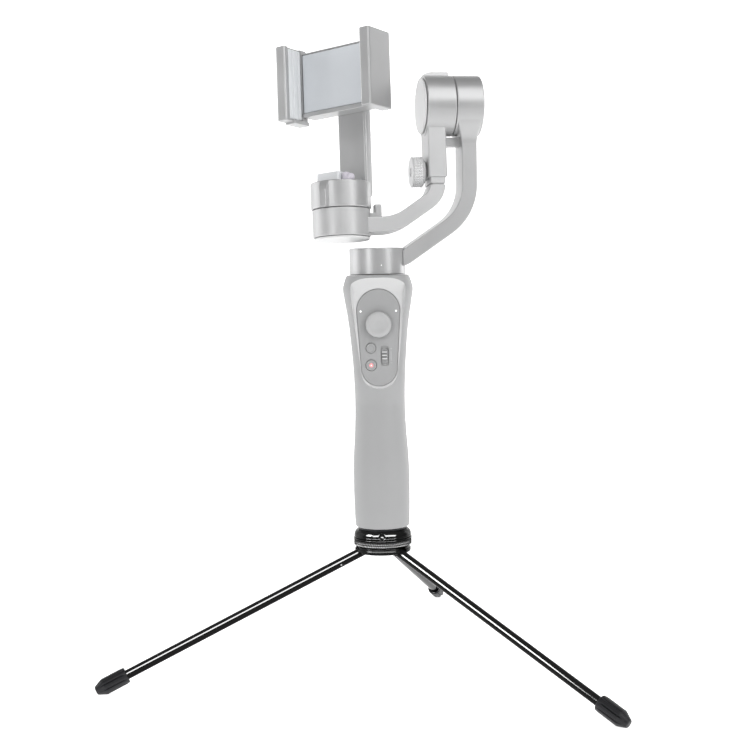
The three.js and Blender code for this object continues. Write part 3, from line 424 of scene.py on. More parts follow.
def finish(name, color, roughness, metallic=0.0, grain=(4000, 0.25, 0.00002), mottle=0.06,
           wear=1.12, coat=0.0, specular=0.5, cloud=45):
    """A moulded, cast or painted surface: fine grain, slow mottling, uneven gloss, paler edges from wear, which on
    the knurl stand for a painted glint.
    """
    nodes = Nodes(name)
    slow = nodes.noise(cloud, 4)
    fine = nodes.noise(grain[0], 2)
    body = nodes.mix(nodes.ramp(slow, 0, 1), shade(color, 1 - mottle), shade(color, 1 + mottle / 2))
    speckled = nodes.mix(nodes.ramp(fine, 0, 0.35), body, shade(color, 1 + 1.5 * mottle))
    # Edges toned by the factor: wear, and where the knurl finish sets it high, a painted glint.
    edge_wear_and_glint_colour = nodes.mix(nodes.edge_wear_and_glint_mask(), speckled, shade(color, wear))
    nodes.link(edge_wear_and_glint_colour, nodes.shader.inputs["Base Color"])
    nodes.link(nodes.ramp(slow, roughness * 0.9, roughness * 1.12), nodes.shader.inputs["Roughness"])
    nodes.shader.inputs["Metallic"].default_value = metallic
    nodes.shader.inputs["Specular IOR Level"].default_value = specular
    nodes.shader.inputs["Coat Weight"].default_value = coat
    nodes.shader.inputs["Coat Roughness"].default_value = 0.06
    nodes.bump(fine, grain[1], grain[2])
    return nodes.material


def turned_metal(name, color, roughness, stretch=(1, 1, 60)):
    """Metal with fine marks round it from the lathe."""
    nodes = Nodes(name)
    marks = nodes.noise(420, 3, 0.6, stretch)
    nodes.link(nodes.mix(nodes.ramp(marks, 0, 1), shade(color, 0.82), color),
               nodes.shader.inputs["Base Color"])
    nodes.link(nodes.ramp(marks, roughness * 0.8, roughness * 1.3), nodes.shader.inputs["Roughness"])
    nodes.shader.inputs["Metallic"].default_value = 1.0
    nodes.bump(marks, 0.25, 0.00002)
    return nodes.material


def windings(name):
    """Copper wire wound on steel laminations."""
    nodes = Nodes(name)
    wave = nodes.add("ShaderNodeTexWave", wave_type="BANDS", bands_direction="Z")
    wave.inputs["Scale"].default_value = 900
    wave.inputs["Distortion"].default_value = 1.5
    nodes.link(nodes.place, wave.inputs["Vector"])
    nodes.link(nodes.mix(wave.outputs["Fac"], (0.16, 0.06, 0.03), (0.62, 0.30, 0.16)),
               nodes.shader.inputs["Base Color"])
    nodes.shader.inputs["Metallic"].default_value = 0.8
    nodes.shader.inputs["Roughness"].default_value = 0.35
    nodes.bump(wave.outputs["Fac"], 0.6, 0.0001)
    return nodes.material


def circuit(name):
    """Green solder mask with traces and pads under it."""
    nodes = Nodes(name)
    brick = nodes.add("ShaderNodeTexBrick")
    for socket, value in (("Scale", 520), ("Mortar Size", 0.05), ("Brick Width", 1.4)):
        brick.inputs[socket].default_value = value
    brick.inputs["Color1"].default_value = (0.020, 0.085, 0.035, 1)
    brick.inputs["Color2"].default_value = (0.028, 0.110, 0.045, 1)
    brick.inputs["Mortar"].default_value = (0.060, 0.200, 0.090, 1)
    nodes.link(nodes.place, brick.inputs["Vector"])
    nodes.link(brick.outputs["Color"], nodes.shader.inputs["Base Color"])
    nodes.shader.inputs["Roughness"].default_value = 0.32
    nodes.bump(brick.outputs["Fac"], 0.3, 0.00003)
    return nodes.material


def lamp(name, color, strength):
    """A small light behind a clear lens, a little brighter in the middle of its grain."""
    nodes = Nodes(name)
    glow = nodes.mix(nodes.ramp(nodes.noise(3000), 0, 1), shade(color, 0.85), color)
    nodes.link(glow, nodes.shader.inputs["Base Color"])
    nodes.link(glow, nodes.shader.inputs["Emission Color"])
    nodes.shader.inputs["Emission Strength"].default_value = strength
    nodes.shader.inputs["Roughness"].default_value = 0.15
    return nodes.material


SILVER = (0.47, 0.472, 0.475)
look = {}


def add_look(make, name, *values, **more):
    look[name] = make(name, *values, **more)


add_look(finish, "grip_plastic", (0.355, 0.357, 0.36), 0.50,
        grain=(5200, 0.35, 0.00003), mottle=0.03)
# Painted highlight: a paler copy of the grey plastic, for the recess walls round the panel and the tops of the
# zoom key's ribs, standing for the light they catch.
add_look(finish, "recess_plastic", (0.60, 0.602, 0.604), 0.30,
        grain=(6500, 0.15, 0.00001), mottle=0.02)
add_look(finish, "panel_plastic", (0.34, 0.342, 0.345), 0.5,
        grain=(6500, 0.2, 0.00001), mottle=0.02)
# Painted shade: the zoom key is darker than the panel, standing for the shade in its slot.
add_look(finish, "key_plastic", (0.29, 0.292, 0.295), 0.5, grain=(5000, 0.25, 0.00002), mottle=0.02)
add_look(finish, "button_plastic", (0.44, 0.442, 0.445), 0.45,
        grain=(5000, 0.25, 0.00002), mottle=0.02)
add_look(finish, "cast_alloy", SILVER, 0.37, 0.5, grain=(7000, 0.12, 0.00001), mottle=0.04)
# Painted highlight: a paler copy of the cast alloy, for the inner arm and the roll drum's sleeve, standing for the
# light on them.
add_look(finish, "pale_alloy", shade(SILVER, 1.06), 0.40, 0.35,
        grain=(7000, 0.12, 0.00001), mottle=0.04)
add_look(finish, "face_disc", (0.68, 0.682, 0.685), 0.42, 0.1,
        grain=(6000, 0.1, 0.00001), mottle=0.02, wear=0.8)
add_look(finish, "slate_plate", (0.60, 0.625, 0.655), 0.46, grain=(5000, 0.2, 0.00002), mottle=0.03)
add_look(finish, "pale_rubber", (0.74, 0.755, 0.77), 0.55, grain=(4200, 0.15, 0.00001), mottle=0.03)
add_look(finish, "black_anodised", (0.0003, 0.0003, 0.0003), 0.08,
        grain=(9000, 0.02, 0.000002), mottle=0.1, wear=1.8, specular=0.06)
# Painted glint: the knurled band is paler than the black ring, with bright tips, standing for the glints its teeth
# catch.
add_look(finish, "worn_knurl", (0.0012, 0.0012, 0.0012), 0.30,
        grain=(1400, 0.5, 0.00003), mottle=0.5, wear=6.0, specular=0.12)
add_look(finish, "dark_rubber", (0.013, 0.013, 0.015), 0.40,
        grain=(2600, 0.5, 0.00005), mottle=0.25, wear=3.5, specular=0.3)
add_look(turned_metal, "steel", (0.55, 0.56, 0.57), 0.3)
add_look(turned_metal, "brass", (0.66, 0.47, 0.22), 0.28)
add_look(windings, "copper")
add_look(circuit, "board")
add_look(finish, "cell_wrap", (0.05, 0.16, 0.40), 0.25,
        grain=(2000, 0.1, 0.00001), mottle=0.05, coat=0.3)
add_look(finish, "lilac_rubber", (0.66, 0.63, 0.70), 0.5, grain=(3600, 0.3, 0.00003), mottle=0.03)
white_lamp = lamp("white_lamp", (1.0, 1.0, 1.0), 0.6)
red_lamp = lamp("red_lamp", (0.95, 0.30, 0.32), 0.42)


# ---------------------------------------------------------------- pieces

def without_slivers(mesh, reach=1e-6):
    """Closes up the tiny edges and flat triangles that a cut leaves, one micrometre at most."""
    work = bmesh.new()
    work.from_mesh(mesh)
    bmesh.ops.remove_doubles(work, verts=work.verts, dist=reach)
    bmesh.ops.dissolve_degenerate(work, edges=work.edges, dist=reach)
    work.to_mesh(mesh)
    work.free()


def piece(name, solid, place, body, slot, replaced=(), material=None):
    """A solid drawn in millimetres in the frame `place`, as a smooth-shaded piece of that body."""
    mesh = bpy.data.meshes.new(name)
    mesh.from_pydata([tuple(place @ c) for c in solid.corners], [], solid.faces)
    without_slivers(mesh)
    mesh.validate()
    mesh.materials.append(material or look[slot])
    mesh.shade_smooth()
    mesh.set_sharp_from_angle(angle=CREASE)
    made = bpy.data.objects.new(name, mesh)
    bpy.context.scene.collection.objects.link(made)
    normals = made.modifiers.new("weighted", "WEIGHTED_NORMAL")
    normals.keep_sharp = True
    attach(made, body)
    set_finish(made, slot)
    if replaced:
        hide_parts(*replaced)
    return made


def finish_faces(made, material, place, chosen):
    """A second finish for the faces whose middles, in the millimetres of `place`, are chosen."""
    made.data.materials.append(material)
    back = place.inverted()
    for face in made.data.polygons:
        if chosen(back @ face.center):
            face.material_index = 1


# ---------------------------------------------------------------- tripod

HUB_R = 17.6
RING_R = 18.3
RING_TEETH = 96
LEG_PIVOT = 9.5
LEG_PIVOT_Z = 2.19
LEG_AZIMUTH = {"rear": 76.3, "left": 196.3, "right": 316.3}
LEG_DROP = 23.2
LEG_LENGTH = 185.6
LEG_R = 2.9
FOOT_R = 5.0
FOOT_LENGTH = 20.2
PAD_R = 15.3
STUD_HOLE_R = 3.475
KNURL_LOW, KNURL_HIGH = 4.95, 8.0


def ring_knurl(angle, r, z):
    """Diamond knurling between the ring's two rims."""
    if not KNURL_LOW < z < KNURL_HIGH or r < RING_R - 1.5:
        return r
    lean = 2.4 * (z - KNURL_LOW)
    rising = 0.5 + 0.5 * math.cos(RING_TEETH * angle + lean)
    falling = 0.5 + 0.5 * math.cos(RING_TEETH * angle - lean)
    return r - 0.45 * (1 - rising * falling)


def plate_dimple(angle, r, z):
    """A small round dimple in the front of the plate's rounded shoulder."""
    away = math.hypot((angle - 1.5 * math.pi + 0.03) * RING_R, z - 11.8)
    return r - 1.7 * max(0.0, 1 - (away / 2.1) ** 2) if r > 14 else r


def build_hub():
    slot = box([6.5, 20], [-LEG_R - 0.3, LEG_R + 0.3], [-1, 4.9])
    base = lathe(softened([
        (0, 0), (HUB_R, 0, 0.9), (HUB_R, 2.4, 0.5), (HUB_R - 0.9, 2.5, 0.2), (HUB_R - 0.9, 3.7, 0.2),
        (12.6, 3.7), (12.6, 9.4), (0, 9.4),
    ]))
    base = cut(base, *(slot.at(turned("Z", a)) for a in LEG_AZIMUTH.values()), cylinder(7.3, 6, 12))
    piece("hub_base", base, HANDLE, "handle", "black_anodised", ["tripod_base"])

    knurl_rows = [(RING_R - 0.1, KNURL_LOW + (KNURL_HIGH - KNURL_LOW) * k / 14) for k in range(15)]
    ring = lathe(softened([
        (12.9, 4.2), (RING_R - 0.9, 4.2, 0.3), (RING_R - 0.5, 4.6, 0.2), (RING_R - 0.5, KNURL_LOW),
    ]) + knurl_rows + softened([
        (RING_R - 0.5, KNURL_HIGH), (RING_R - 0.5, 8.3, 0.1), (RING_R, 8.65, 0.2), (RING_R, 9.1, 0.2),
        (RING_R - 0.6, 9.4, 0.2), (12.9, 9.4),
    ]), RING_TEETH * 6, ring_knurl)
    ring = piece("lock_ring", ring, HANDLE, "leg_lock_ring", "black_anodised", ["leg_lock_ring"])
    # The knurled band takes the paler finish with bright tips, a painted glint.
    finish_faces(ring, look["worn_knurl"], HANDLE,
                 lambda p: KNURL_LOW < p.z < KNURL_HIGH and math.hypot(p.x, p.y) > 15)

    shoulder = [(RING_R - 0.4, 9.7, 0.2), (RING_R - 0.3, 10.4, 0.3)]
    plate = softened([(STUD_HOLE_R, 9.7)] + shoulder, steps=4)
    plate += [(RING_R - 0.35 - 2.6 * (1 - math.cos(a)), 10.5 + 3.7 * math.sin(a))
              for a in (math.pi / 2 * k / 16 for k in range(17))]
    plate += [(PAD_R + 0.15, 14.2), (PAD_R + 0.1, 14.4), (STUD_HOLE_R, 14.4)]
    piece("hub_plate", lathe(plate, 384, plate_dimple), HANDLE, "handle", "black_anodised", ["top_plate"])

    pad = softened([(STUD_HOLE_R, 14.7), (PAD_R - 0.2, 14.7, 0.2), (PAD_R, 15.0, 0.2), (PAD_R, 16.2, 0.3),
                    (PAD_R - 0.4, 16.5, 0.3), (STUD_HOLE_R, 16.5)])
    piece("hub_pad", lathe(pad), HANDLE, "handle", "dark_rubber", ["top_pad"])


def foot_flutes(angle, r, z):
    """Shallow flutes along a rubber foot, which run out on its cone and before its mouth."""
    inner = 1 if r > LEG_R + 0.5 else 0
    along = min(1, max(0, (z - (LEG_LENGTH - FOOT_LENGTH + 1.6)) / 1.2))
    tip = min(1, max(0, (LEG_LENGTH - 1.6 - z) / 3.5))
    groove = max(0.0, math.cos(9 * angle)) ** 4
    return r - 0.75 * inner * along * tip * groove


def build_legs():
    rod_end = LEG_LENGTH - 8
    rod = cylinder(LEG_R, 3.4, rod_end, 0.5, FINE).at(ALONG_X)
    tongue = union(
        cylinder(2.1, -LEG_R + 0.05, LEG_R - 0.05, 0.3, FINE).at(UPRIGHT),
        box([0, 5], [-LEG_R + 0.1, LEG_R - 0.1], [-2.1, 2.1], 0, 0.3),
    )
    hole = cylinder(1.3, -5, 5, 0, FINE).at(UPRIGHT)
    leg = cut(union(rod, tongue), hole)
    detent = cylinder(0.55, 0, 0.35, 0.15, 24).at(turned("X", -90))

    mouth = LEG_LENGTH - FOOT_LENGTH
    sleeve = [(FOOT_R, mouth + 3 + (FOOT_LENGTH - 8.8) * k / 20) for k in range(21)]
    cone = [(FOOT_R - 0.15, LEG_LENGTH - 5.2), (FOOT_R - 0.5, LEG_LENGTH - 4.4),
            (FOOT_R - 1.1, LEG_LENGTH - 3.2), (FOOT_R - 1.7, LEG_LENGTH - 1.9),
            (FOOT_R - 2.2, LEG_LENGTH - 0.8)]
    tip = softened([(FOOT_R - 2.6, LEG_LENGTH - 0.25), (FOOT_R - 3.4, LEG_LENGTH, 0.3), (0, LEG_LENGTH)])
    foot = lathe(softened([
        (0, rod_end + 0.3), (LEG_R + 0.3, rod_end + 0.3), (LEG_R + 0.3, mouth + 0.3, 0.3),
        (LEG_R + 0.6, mouth, 0.2),
        (FOOT_R - 0.3, mouth, 0.4), (FOOT_R - 0.1, mouth + 1.2, 0.2),
    ]) + sleeve + cone + tip, 144, foot_flutes).at(ALONG_X)
    for name, azimuth in LEG_AZIMUTH.items():
        place = HANDLE @ turned("Z", azimuth) @ shifted(LEG_PIVOT, 0, LEG_PIVOT_Z) @ turned("Y", LEG_DROP)
        body = f"{name}_leg"
        piece(f"rod_{name}", leg, place, body, "black_anodised", [f"leg_{name}"])
        piece(f"rod_pin_{name}", detent, place @ shifted(20.6, LEG_R - 0.06, -0.6), body, "steel")
        piece(f"rubber_foot_{name}", foot, place, body, "dark_rubber", [f"foot_{name}"])


# ---------------------------------------------------------------- handle

GRIP_BOTTOM = 16.8
GRIP_TOP = 173.3
GRIP_LINE = [
    (16.1, GRIP_BOTTOM), (17.0, 18.6), (17.5, 40), (17.2, 59), (16.0, 78), (15.55, 95), (16.0, 112),
    (16.95, 127), (18.4, 143), (20.5, 156.5), (21.65, 164.5), (20.9, 168.6), (19.7, 172.3),
]
PANEL_FACE = 16.6              # how far each front surface stands out towards -Y
RECESS_FLOOR = 16.3
JOYSTICK_Z = 143.1
MODE_BUTTON = (-4.9, 128.7, 3.0)
POWER_BUTTON = (-4.9, 118.2, 3.25)
ZOOM_SLOT = (3.5, 123.8, 2.5, 6.2)
FLAP_Y = (-11.0, -4.0)
FLAP_Z = (136.3, 145.9)
FLAP_SKIN = 1.3
GRIP_FOOT_RIM = 0.8
PANEL_TOP_R, PANEL_TOP = 13.2, 164.7
PANEL_FOOT_R, PANEL_FOOT = 10.9, 105.4
LAMP_CENTRE = (10.8, 151.2)


def spline(points, steps):
    line = []
    last = len(points) - 1
    for i in range(last):
        p = [Vector(points[min(max(i + k, 0), last)]) for k in (-1, 0, 1, 2)]
        v0, v1 = (p[2] - p[0]) / 2, (p[3] - p[1]) / 2
        for k in range(steps):
            t = k / steps
            line.append((2 * p[1] - 2 * p[2] + v0 + v1) * t ** 3
                        + (3 * p[2] - 3 * p[1] - 2 * v0 - v1) * t ** 2 + v0 * t + p[1])
    line.append(Vector(points[last]))
    return [(p.x, p.y) for p in line]


def smoothstep(x, low, high):
    t = min(1, max(0, (x - low) / (high - low)))
    return t * t * (3 - 2 * t)


def square_front(angle, r, z):
    """The front of the grip squares up and stands a little proud where the panel is let in."""
    c, s = abs(math.cos(angle)), abs(math.sin(angle))
    if math.sin(angle) >= 0:
        return r
    exponent = 2 + 1.5 * smoothstep(z, 92, 112)
    return r * (c ** exponent + s ** exponent) ** (-1 / exponent)


def grip_body(inset):
    line = [(r - inset, z) for r, z in spline(GRIP_LINE, 12)]
    if inset == 0:
        line = [(line[0][0] - GRIP_FOOT_RIM, line[0][1])] + line
    top = softened([(line[-1][0], line[-1][1]), (18.9 - inset, GRIP_TOP, 0.7), (0, GRIP_TOP)])[1:]
    solid = lathe([(0, GRIP_BOTTOM)] + line + top, 176, square_front)
    for corner in solid.corners:
        if corner.y < 0:
            z = corner.z
            corner.y *= 1 + 0.11 * smoothstep(z, 92, 108) * (1 - smoothstep(z, 140, 168))
    return solid


def panel_outline(margin):
    upper, lower = PANEL_TOP_R + margin, PANEL_FOOT_R + margin
    upper_z, lower_z = PANEL_TOP - PANEL_TOP_R, PANEL_FOOT + PANEL_FOOT_R
    lean = math.asin((upper - lower) / (upper_z - lower_z))
    return (arc(0, upper_z, upper, -lean, math.pi + lean, 64)
            + arc(0, lower_z, lower, math.pi + lean, 2 * math.pi - lean, 64))


def recess_cutter():
    """The recess round the panel: walls that flare outwards, and a floor that slopes up on top."""
    lower, lower_z = PANEL_FOOT_R + 1.2, PANEL_FOOT + PANEL_FOOT_R
    half, top, bottom, radius = 15.0, 170.5, 158.0, 4.5
    outline = without_doubles(
        arc(0, lower_z, lower, math.pi, 2 * math.pi, 48) + [(half, bottom)]
        + arc(half - radius, top - radius, radius, 0, math.pi / 2, 12)
        + arc(radius - half, top - radius, radius, math.pi / 2, math.pi, 12) + [(-half, bottom)]
    )
    levels = ((RECESS_FLOOR, -0.6), (RECESS_FLOOR + 0.12, -0.2), (RECESS_FLOOR + 0.45, 0.25),
              (18.4, 1.5), (22.3, 3.0), (30.0, 3.0))
    walls = stack([[(x, z, out) for x, z in offset(outline, d)] for out, d in levels])
    walls = walls.at(UPRIGHT)
    slope = softened([(RECESS_FLOOR - 2, 161), (RECESS_FLOOR, 161), (RECESS_FLOOR + 0.2, 164.5, 2.5),
                      (20.6, 172.8), (RECESS_FLOOR - 2, 172.8)], steps=12)
    scoop = prism(slope, -25, 25)
    place = Matrix(((0, 0, 1, 0), (-1, 0, 0, 0), (0, 1, 0, 0), (0, 0, 0, 1)))
    scoop = scoop.at(place)
    scoop.faces = [tuple(reversed(face)) for face in scoop.faces]
    return cut(walls, scoop)


def front_prism(outline, front, back, fillet=0.0):
    """An outline in XZ, between two distances out from the handle's axis."""
    return prism(outline, back, front, fillet).at(UPRIGHT)


def front_hole(x, z, radius, front=30.0, back=12.0):
    return cylinder(radius, back, front, 0, FINE).at(shifted(x, 0, z) @ UPRIGHT)


def flap_block(margin):
    depth, height = ([low - margin, high + margin] for low, high in (FLAP_Y, FLAP_Z))
    return box([-30, -10], depth, height)


def build_grip():
    outer = grip_body(0)
    flap_room = cut(flap_block(0.4), grip_body(FLAP_SKIN + 0.3))
    x, z, half_x, half_z = ZOOM_SLOT
    walls = cut(
        outer,
        cylinder(13.3, GRIP_BOTTOM - 1, 102),
        cylinder(9.5, 99, 164),
        box([-10, 10], [-12.8, 11], [104, 165]),
        cylinder(8.0, 163, GRIP_TOP + 1),
        front_prism(panel_outline(0.3), 30, PANEL_FACE - 1.8),
        recess_cutter(),
        front_hole(0, JOYSTICK_Z, 5.6),
        front_hole(*MODE_BUTTON[:2], 2.2),
        front_hole(*POWER_BUTTON[:2], 2.2),
        box([x - 1.3, x + 1.3], [-20, -12], [z - 3.6, z + 3.6]),
        flap_room,
        box([-20, -9.5], [-9.5, -5.5], [136.9, 145.3]),
    )
    front = common(walls, box([-40, 40], [-40, -0.12], [0, 200]))
    rear = common(walls, box([-40, 40], [0.12, 40], [0, 200]))
    shell = piece("grip_front", front, HANDLE, "handle", "grip_plastic", ["front_shell"])
    skin = BVHTree.FromPolygons(outer.corners, outer.faces)
    # The recess walls round the panel are painted paler, a painted highlight for the light they catch.
    finish_faces(shell, look["recess_plastic"], HANDLE,
                 lambda p: p.y < -10 and p.z > 100 and skin.find_nearest(p)[3] > 0.03)
    piece("grip_rear", rear, HANDLE, "handle", "grip_plastic", ["rear_shell"])
    flap = common(flap_block(-0.25), cut(grip_body(0.12), grip_body(FLAP_SKIN)))
    piece("port_flap", flap, HANDLE, "usb_flap", "grip_plastic", ["usb_flap"], look["panel_plastic"])

    panel = front_prism(panel_outline(0), PANEL_FACE, PANEL_FACE - 1.5, 0.25)
    slot = front_prism(rounded_rectangle(half_x, half_z, 1.6), 20, 12).at(shifted(x, 0, z))
    button_holes = [front_hole(x, z, r + 0.3) for x, z, r in (MODE_BUTTON, POWER_BUTTON)]
    panel = cut(panel, front_hole(0, JOYSTICK_Z, 5.2), *button_holes, slot)
    piece("panel_plate", panel, HANDLE, "handle", "panel_plastic", ["control_panel"])


def build_controls():
    stick = HANDLE @ shifted(0, -10.2, JOYSTICK_Z) @ UPRIGHT
    cap = softened([
        (0, 8.1), (7.2, 8.1, 0.4), (7.95, 8.7, 0.4), (7.95, 9.5, 0.5), (7.1, 10.3, 0.7), (5.9, 10.6, 0.8),
    ])
    cap += [(5.2 * (1 - k / 14), 10.6 - 0.55 * math.sin(math.pi / 2 * min(1, k / 9))) for k in range(15)]

    def rim(angle, r, z):
        return r - 0.14 * (0.5 + 0.5 * math.cos(60 * angle)) if r > 7.6 else r

    ball = [(2.4 * math.sin(a), -2.4 * math.cos(a)) for a in (math.pi * k / 24 for k in range(25))]
    body = union(lathe(cap, 240, rim), cylinder(2.0, 1, 8.6, 0, FINE), lathe(ball, FINE))
    piece("thumb_stick", body, stick, "joystick", "button_plastic", ["joystick"])

    for name, (x, z, r) in (("mode_button", MODE_BUTTON), ("power_button", POWER_BUTTON)):
        cap = softened([(0, 16.0), (r, 16.0), (r, 17.1, 0.25), (r - 0.35, 17.3, 0.2), (r - 0.75, 17.3, 0.2),
                        (r - 0.95, 17.05, 0.2), (r - 1.15, 17.2, 0.2), (0, 17.28)])
        button = union(lathe(cap, 96), cylinder(1.8, 13.5, 16.2, 0, FINE))
        place = HANDLE @ shifted(x, 0, z) @ UPRIGHT
        piece(f"{name}_cap", button, place, name, "button_plastic", [name], look["panel_plastic"])
    lens = cylinder(1.2, 17.1, 17.42, 0.15, FINE)
    x, z, _ = POWER_BUTTON
    place = HANDLE @ shifted(x, 0, z) @ UPRIGHT
    piece("power_lens", lens, place, "power_button", "button_plastic", material=red_lamp)
    core = cylinder(0.38, 17.3, 17.5, 0.1, FINE)
    piece("power_lens_core", core, place, "power_button", "button_plastic", material=white_lamp)

    x, z, _, _ = ZOOM_SLOT
    place = HANDLE @ shifted(x, 0, z) @ UPRIGHT
    ribs = [box([-1.7, 1.4], [y - 0.42, y + 0.42], [15.9, 17.5], 0.3, 0.2) for y in (-1.6, 0.4, 2.4)]
    base = box([-2.0, 2.0], [-4.4, 4.4], [15.4, 16.3], 1.2, 0.3)
    slider = union(base, box([-0.9, 0.9], [-1.8, 1.8], [13.5, 15.6]), *ribs)
    # The zoom key is painted darker for the shade in its slot.
    slider = piece("zoom_key", slider, place, "zoom_slider", "panel_plastic", ["zoom_slider"],
                   look["key_plastic"])
    # The rib tops take the paler finish: a painted highlight.
    finish_faces(slider, look["recess_plastic"], place, lambda p: p.z > 16.9)

    led = cylinder(0.62, PANEL_FACE - 0.4, PANEL_FACE + 0.12, 0.1, 32)
    lamp_x, lamp_z = LAMP_CENTRE
    for side, x in (("left", -lamp_x), ("right", lamp_x)):
        place = HANDLE @ shifted(x, 0, lamp_z) @ UPRIGHT
        piece(f"status_light_{side}", led, place, "handle", "face_disc", material=white_lamp)
    guide = together(
        box([7.35, 7.55], [-2.9, 2.9], [PANEL_FACE - 0.2, PANEL_FACE + 0.03]),
        box([7.0, 7.9], [4.2, 4.5], [PANEL_FACE - 0.2, PANEL_FACE + 0.03]),
        box([7.0, 7.9], [-4.5, -4.2], [PANEL_FACE - 0.2, PANEL_FACE + 0.03]),
    )
    piece("zoom_guide", guide, HANDLE @ shifted(0, 0, ZOOM_SLOT[1]) @ UPRIGHT, "handle", "face_disc")


# ---------------------------------------------------------------- arms and motors

ARM_THICKNESS = 9.4
ARM_HALF_DEPTH = 9.7
ARM_FILLET = 0.8
OUTER_ARM_X = 57.6
PAN_R = 17.27
ROLL_R = 18.55
TILT_X = -22.6
TILT_SEAM = -64.0
TILT_TOP = -47.75
BORE_R = 15.0
FACE_R = 17.0
SLIDE_X = 36.7
KNOB_Z = -41.0


def bent_bar(corners):
    outline = bar_outline(corners, ARM_THICKNESS)
    return prism(outline, -ARM_HALF_DEPTH, ARM_HALF_DEPTH, ARM_FILLET).at(UPRIGHT)


def stop_ridge(radius, proud, z0, z1):
    """A rib that stands out towards -Y and runs along Z, sloped down at its far end."""
    root, top = radius - 0.6, radius + proud
    side = softened([
        (z0, root), (z0, top, 0.4), (z1 - 3.8, top, 3.0), (z1, root + 0.7, 0.6), (z1, root),
    ], closed=True)
    rib = prism(side[::-1], -3.0, 3.0).at(turned("Z", 180) @ turned("Y", -90))
    section = softened([(-3.0, -root), (-2.3, -top, 0.5), (2.3, -top, 0.5), (3.0, -root)])
    return common(rib, prism(section, z0 - 1, z1 + 1))


def neck():
    """The flared part between the arm's flat bar and the drum above it."""
    rings = []
    for k in range(13):
        t = k / 12
        z = -24.6 + 16.6 * t
        flare = smoothstep(t, 0.0, 1.0)
        left = OUTER_ARM_X - ARM_THICKNESS / 2 - 4.2 * flare
        right = OUTER_ARM_X + ARM_THICKNESS / 2 + 2.6 * flare
        depth = ARM_HALF_DEPTH + 6.2 * smoothstep(t, 0.1, 1.0)
        outline = rounded_rectangle((right - left) / 2, depth, ARM_FILLET + 1.2 * flare)
        rings.append([(x + (left + right) / 2, y, z) for x, y in outline])
    return stack(rings).at(shifted(0, 0, ROLL_Z))


def build_pan():
    housing = lathe(softened([
        (0, 187.6), (BORE_R, 187.6), (BORE_R, 173.6), (PAN_R, 173.6, 0.5), (PAN_R, 189.8, 0.7), (0, 189.8),
    ]))
    piece("pan_drum", housing, PAN, "pan_arm", "cast_alloy", ["pan_housing"])
    # The index dot takes the lamp finish and glows, though it is only a mark: painted light.
    index = cylinder(0.32, 0, 0.25, 0.1, 24)
    place = PAN @ turned("Z", -91.2) @ shifted(PAN_R - 0.1, 0, 179.1) @ ALONG_X
    piece("pan_index_dot", index, place, "pan_arm", "face_disc", material=white_lamp)

    bar = bent_bar([
        (2.0, 182.6, 0), (14.5, 182.6, 14), (OUTER_ARM_X, 211.5, 32), (OUTER_ARM_X, ROLL_Z - 24, 0),
    ])
    on_axis = shifted(0, 0, ROLL_Z) @ ALONG_X
    drum = cylinder(ROLL_R, ROLL_SEAM + 0.15, 65.5, 0.8).at(on_axis)
    stop = box([43.5, 54], [-4, 4], [-25.2, -19.7], 0.9, 0.4).at(shifted(0, 0, ROLL_Z))
    hollow = cylinder(BORE_R, ROLL_SEAM - 1, 61.5).at(on_axis)
    seat = cylinder(FACE_R - 1, 64.1, 67).at(on_axis)
    room = cylinder(PAN_R + 0.3, 160, 200)
    arm = cut(union(bar, drum, neck(), stop), hollow, seat, room)
    piece("outer_arm", arm, PAN, "pan_arm", "cast_alloy", ["pan_arm"])
    cap = cylinder(FACE_R - 1.3, 64.4, 65.5, 0.3).at(on_axis)
    piece("outer_face", cap, PAN, "pan_arm", "face_disc", ["roll_end_cap"])


def knob_beads(angle, r, z):
    """Rows of small beads round the knob."""
    if r < 9.2 or not 22.0 < z < 28.4:
        return r
    beads = (0.5 + 0.5 * math.cos(34 * angle)) * (0.5 - 0.5 * math.cos(2 * math.pi * (z - 22.0) / 1.28))
    return r - 0.9 + 0.9 * beads


def build_roll():
    drum = cylinder(ROLL_R, 30.2, ROLL_SEAM - 0.15, 0.8).at(ALONG_X)
    hollow = cylinder(BORE_R, ROLL_SEAM - 14.4, ROLL_SEAM + 1).at(ALONG_X)
    ridge = stop_ridge(ROLL_R, 2.2, -46.8, -30.2).at(turned("X", -90) @ turned("Y", -90))
    sleeve = box([31.0, 42.4], [-10.8, 10.8], [-45.4, -13.5], 1.0, 0.5)
    slot = box([31.7, 41.7], [-10, 10], [-47, -21])
    knob_hole = cylinder(2.8, 28.7, SLIDE_X, 0, FINE).at(shifted(0, 0, KNOB_Z) @ ALONG_X)
    housing = cut(union(drum, ridge, sleeve), hollow, slot, knob_hole)
    drum = piece("roll_drum", housing, ROLL, "roll_arm", "cast_alloy", ["roll_housing"])
    # The sleeve's faces below the roll drum take the paler copy of the alloy: a painted highlight.
    finish_faces(drum, look["pale_alloy"], ROLL, lambda p: p.z < -18.8)
    disc = cylinder(FACE_R, 28.7, 29.9, 0.35).at(ALONG_X)
    piece("roll_face", disc, ROLL, "roll_arm", "face_disc", ["roll_face_disc"])

    rows = [(9.5, 22.0 + 6.4 * k / 40) for k in range(41)]
    back = softened([(9.0, 28.4), (8.6, 29.0, 0.3), (5.5, 30.7), (2.5, 30.7), (2.5, 31.7), (0, 31.7)])
    knob = lathe(softened([(0, 22.6), (2.6, 22.6, 0.3), (2.8, 21.5, 0.3), (8.7, 21.5, 0.4), (9.0, 22.0)])
                 + rows + back,
                 34 * 8, knob_beads)
    place = ROLL @ shifted(0, 0, KNOB_Z) @ ALONG_X
    # The knob is cast alloy, painted in the pale disc finish for the highlights on it: a painted highlight.
    piece("beaded_knob", knob, place, "arm_knob", "cast_alloy", ["arm_knob"], look["face_disc"])


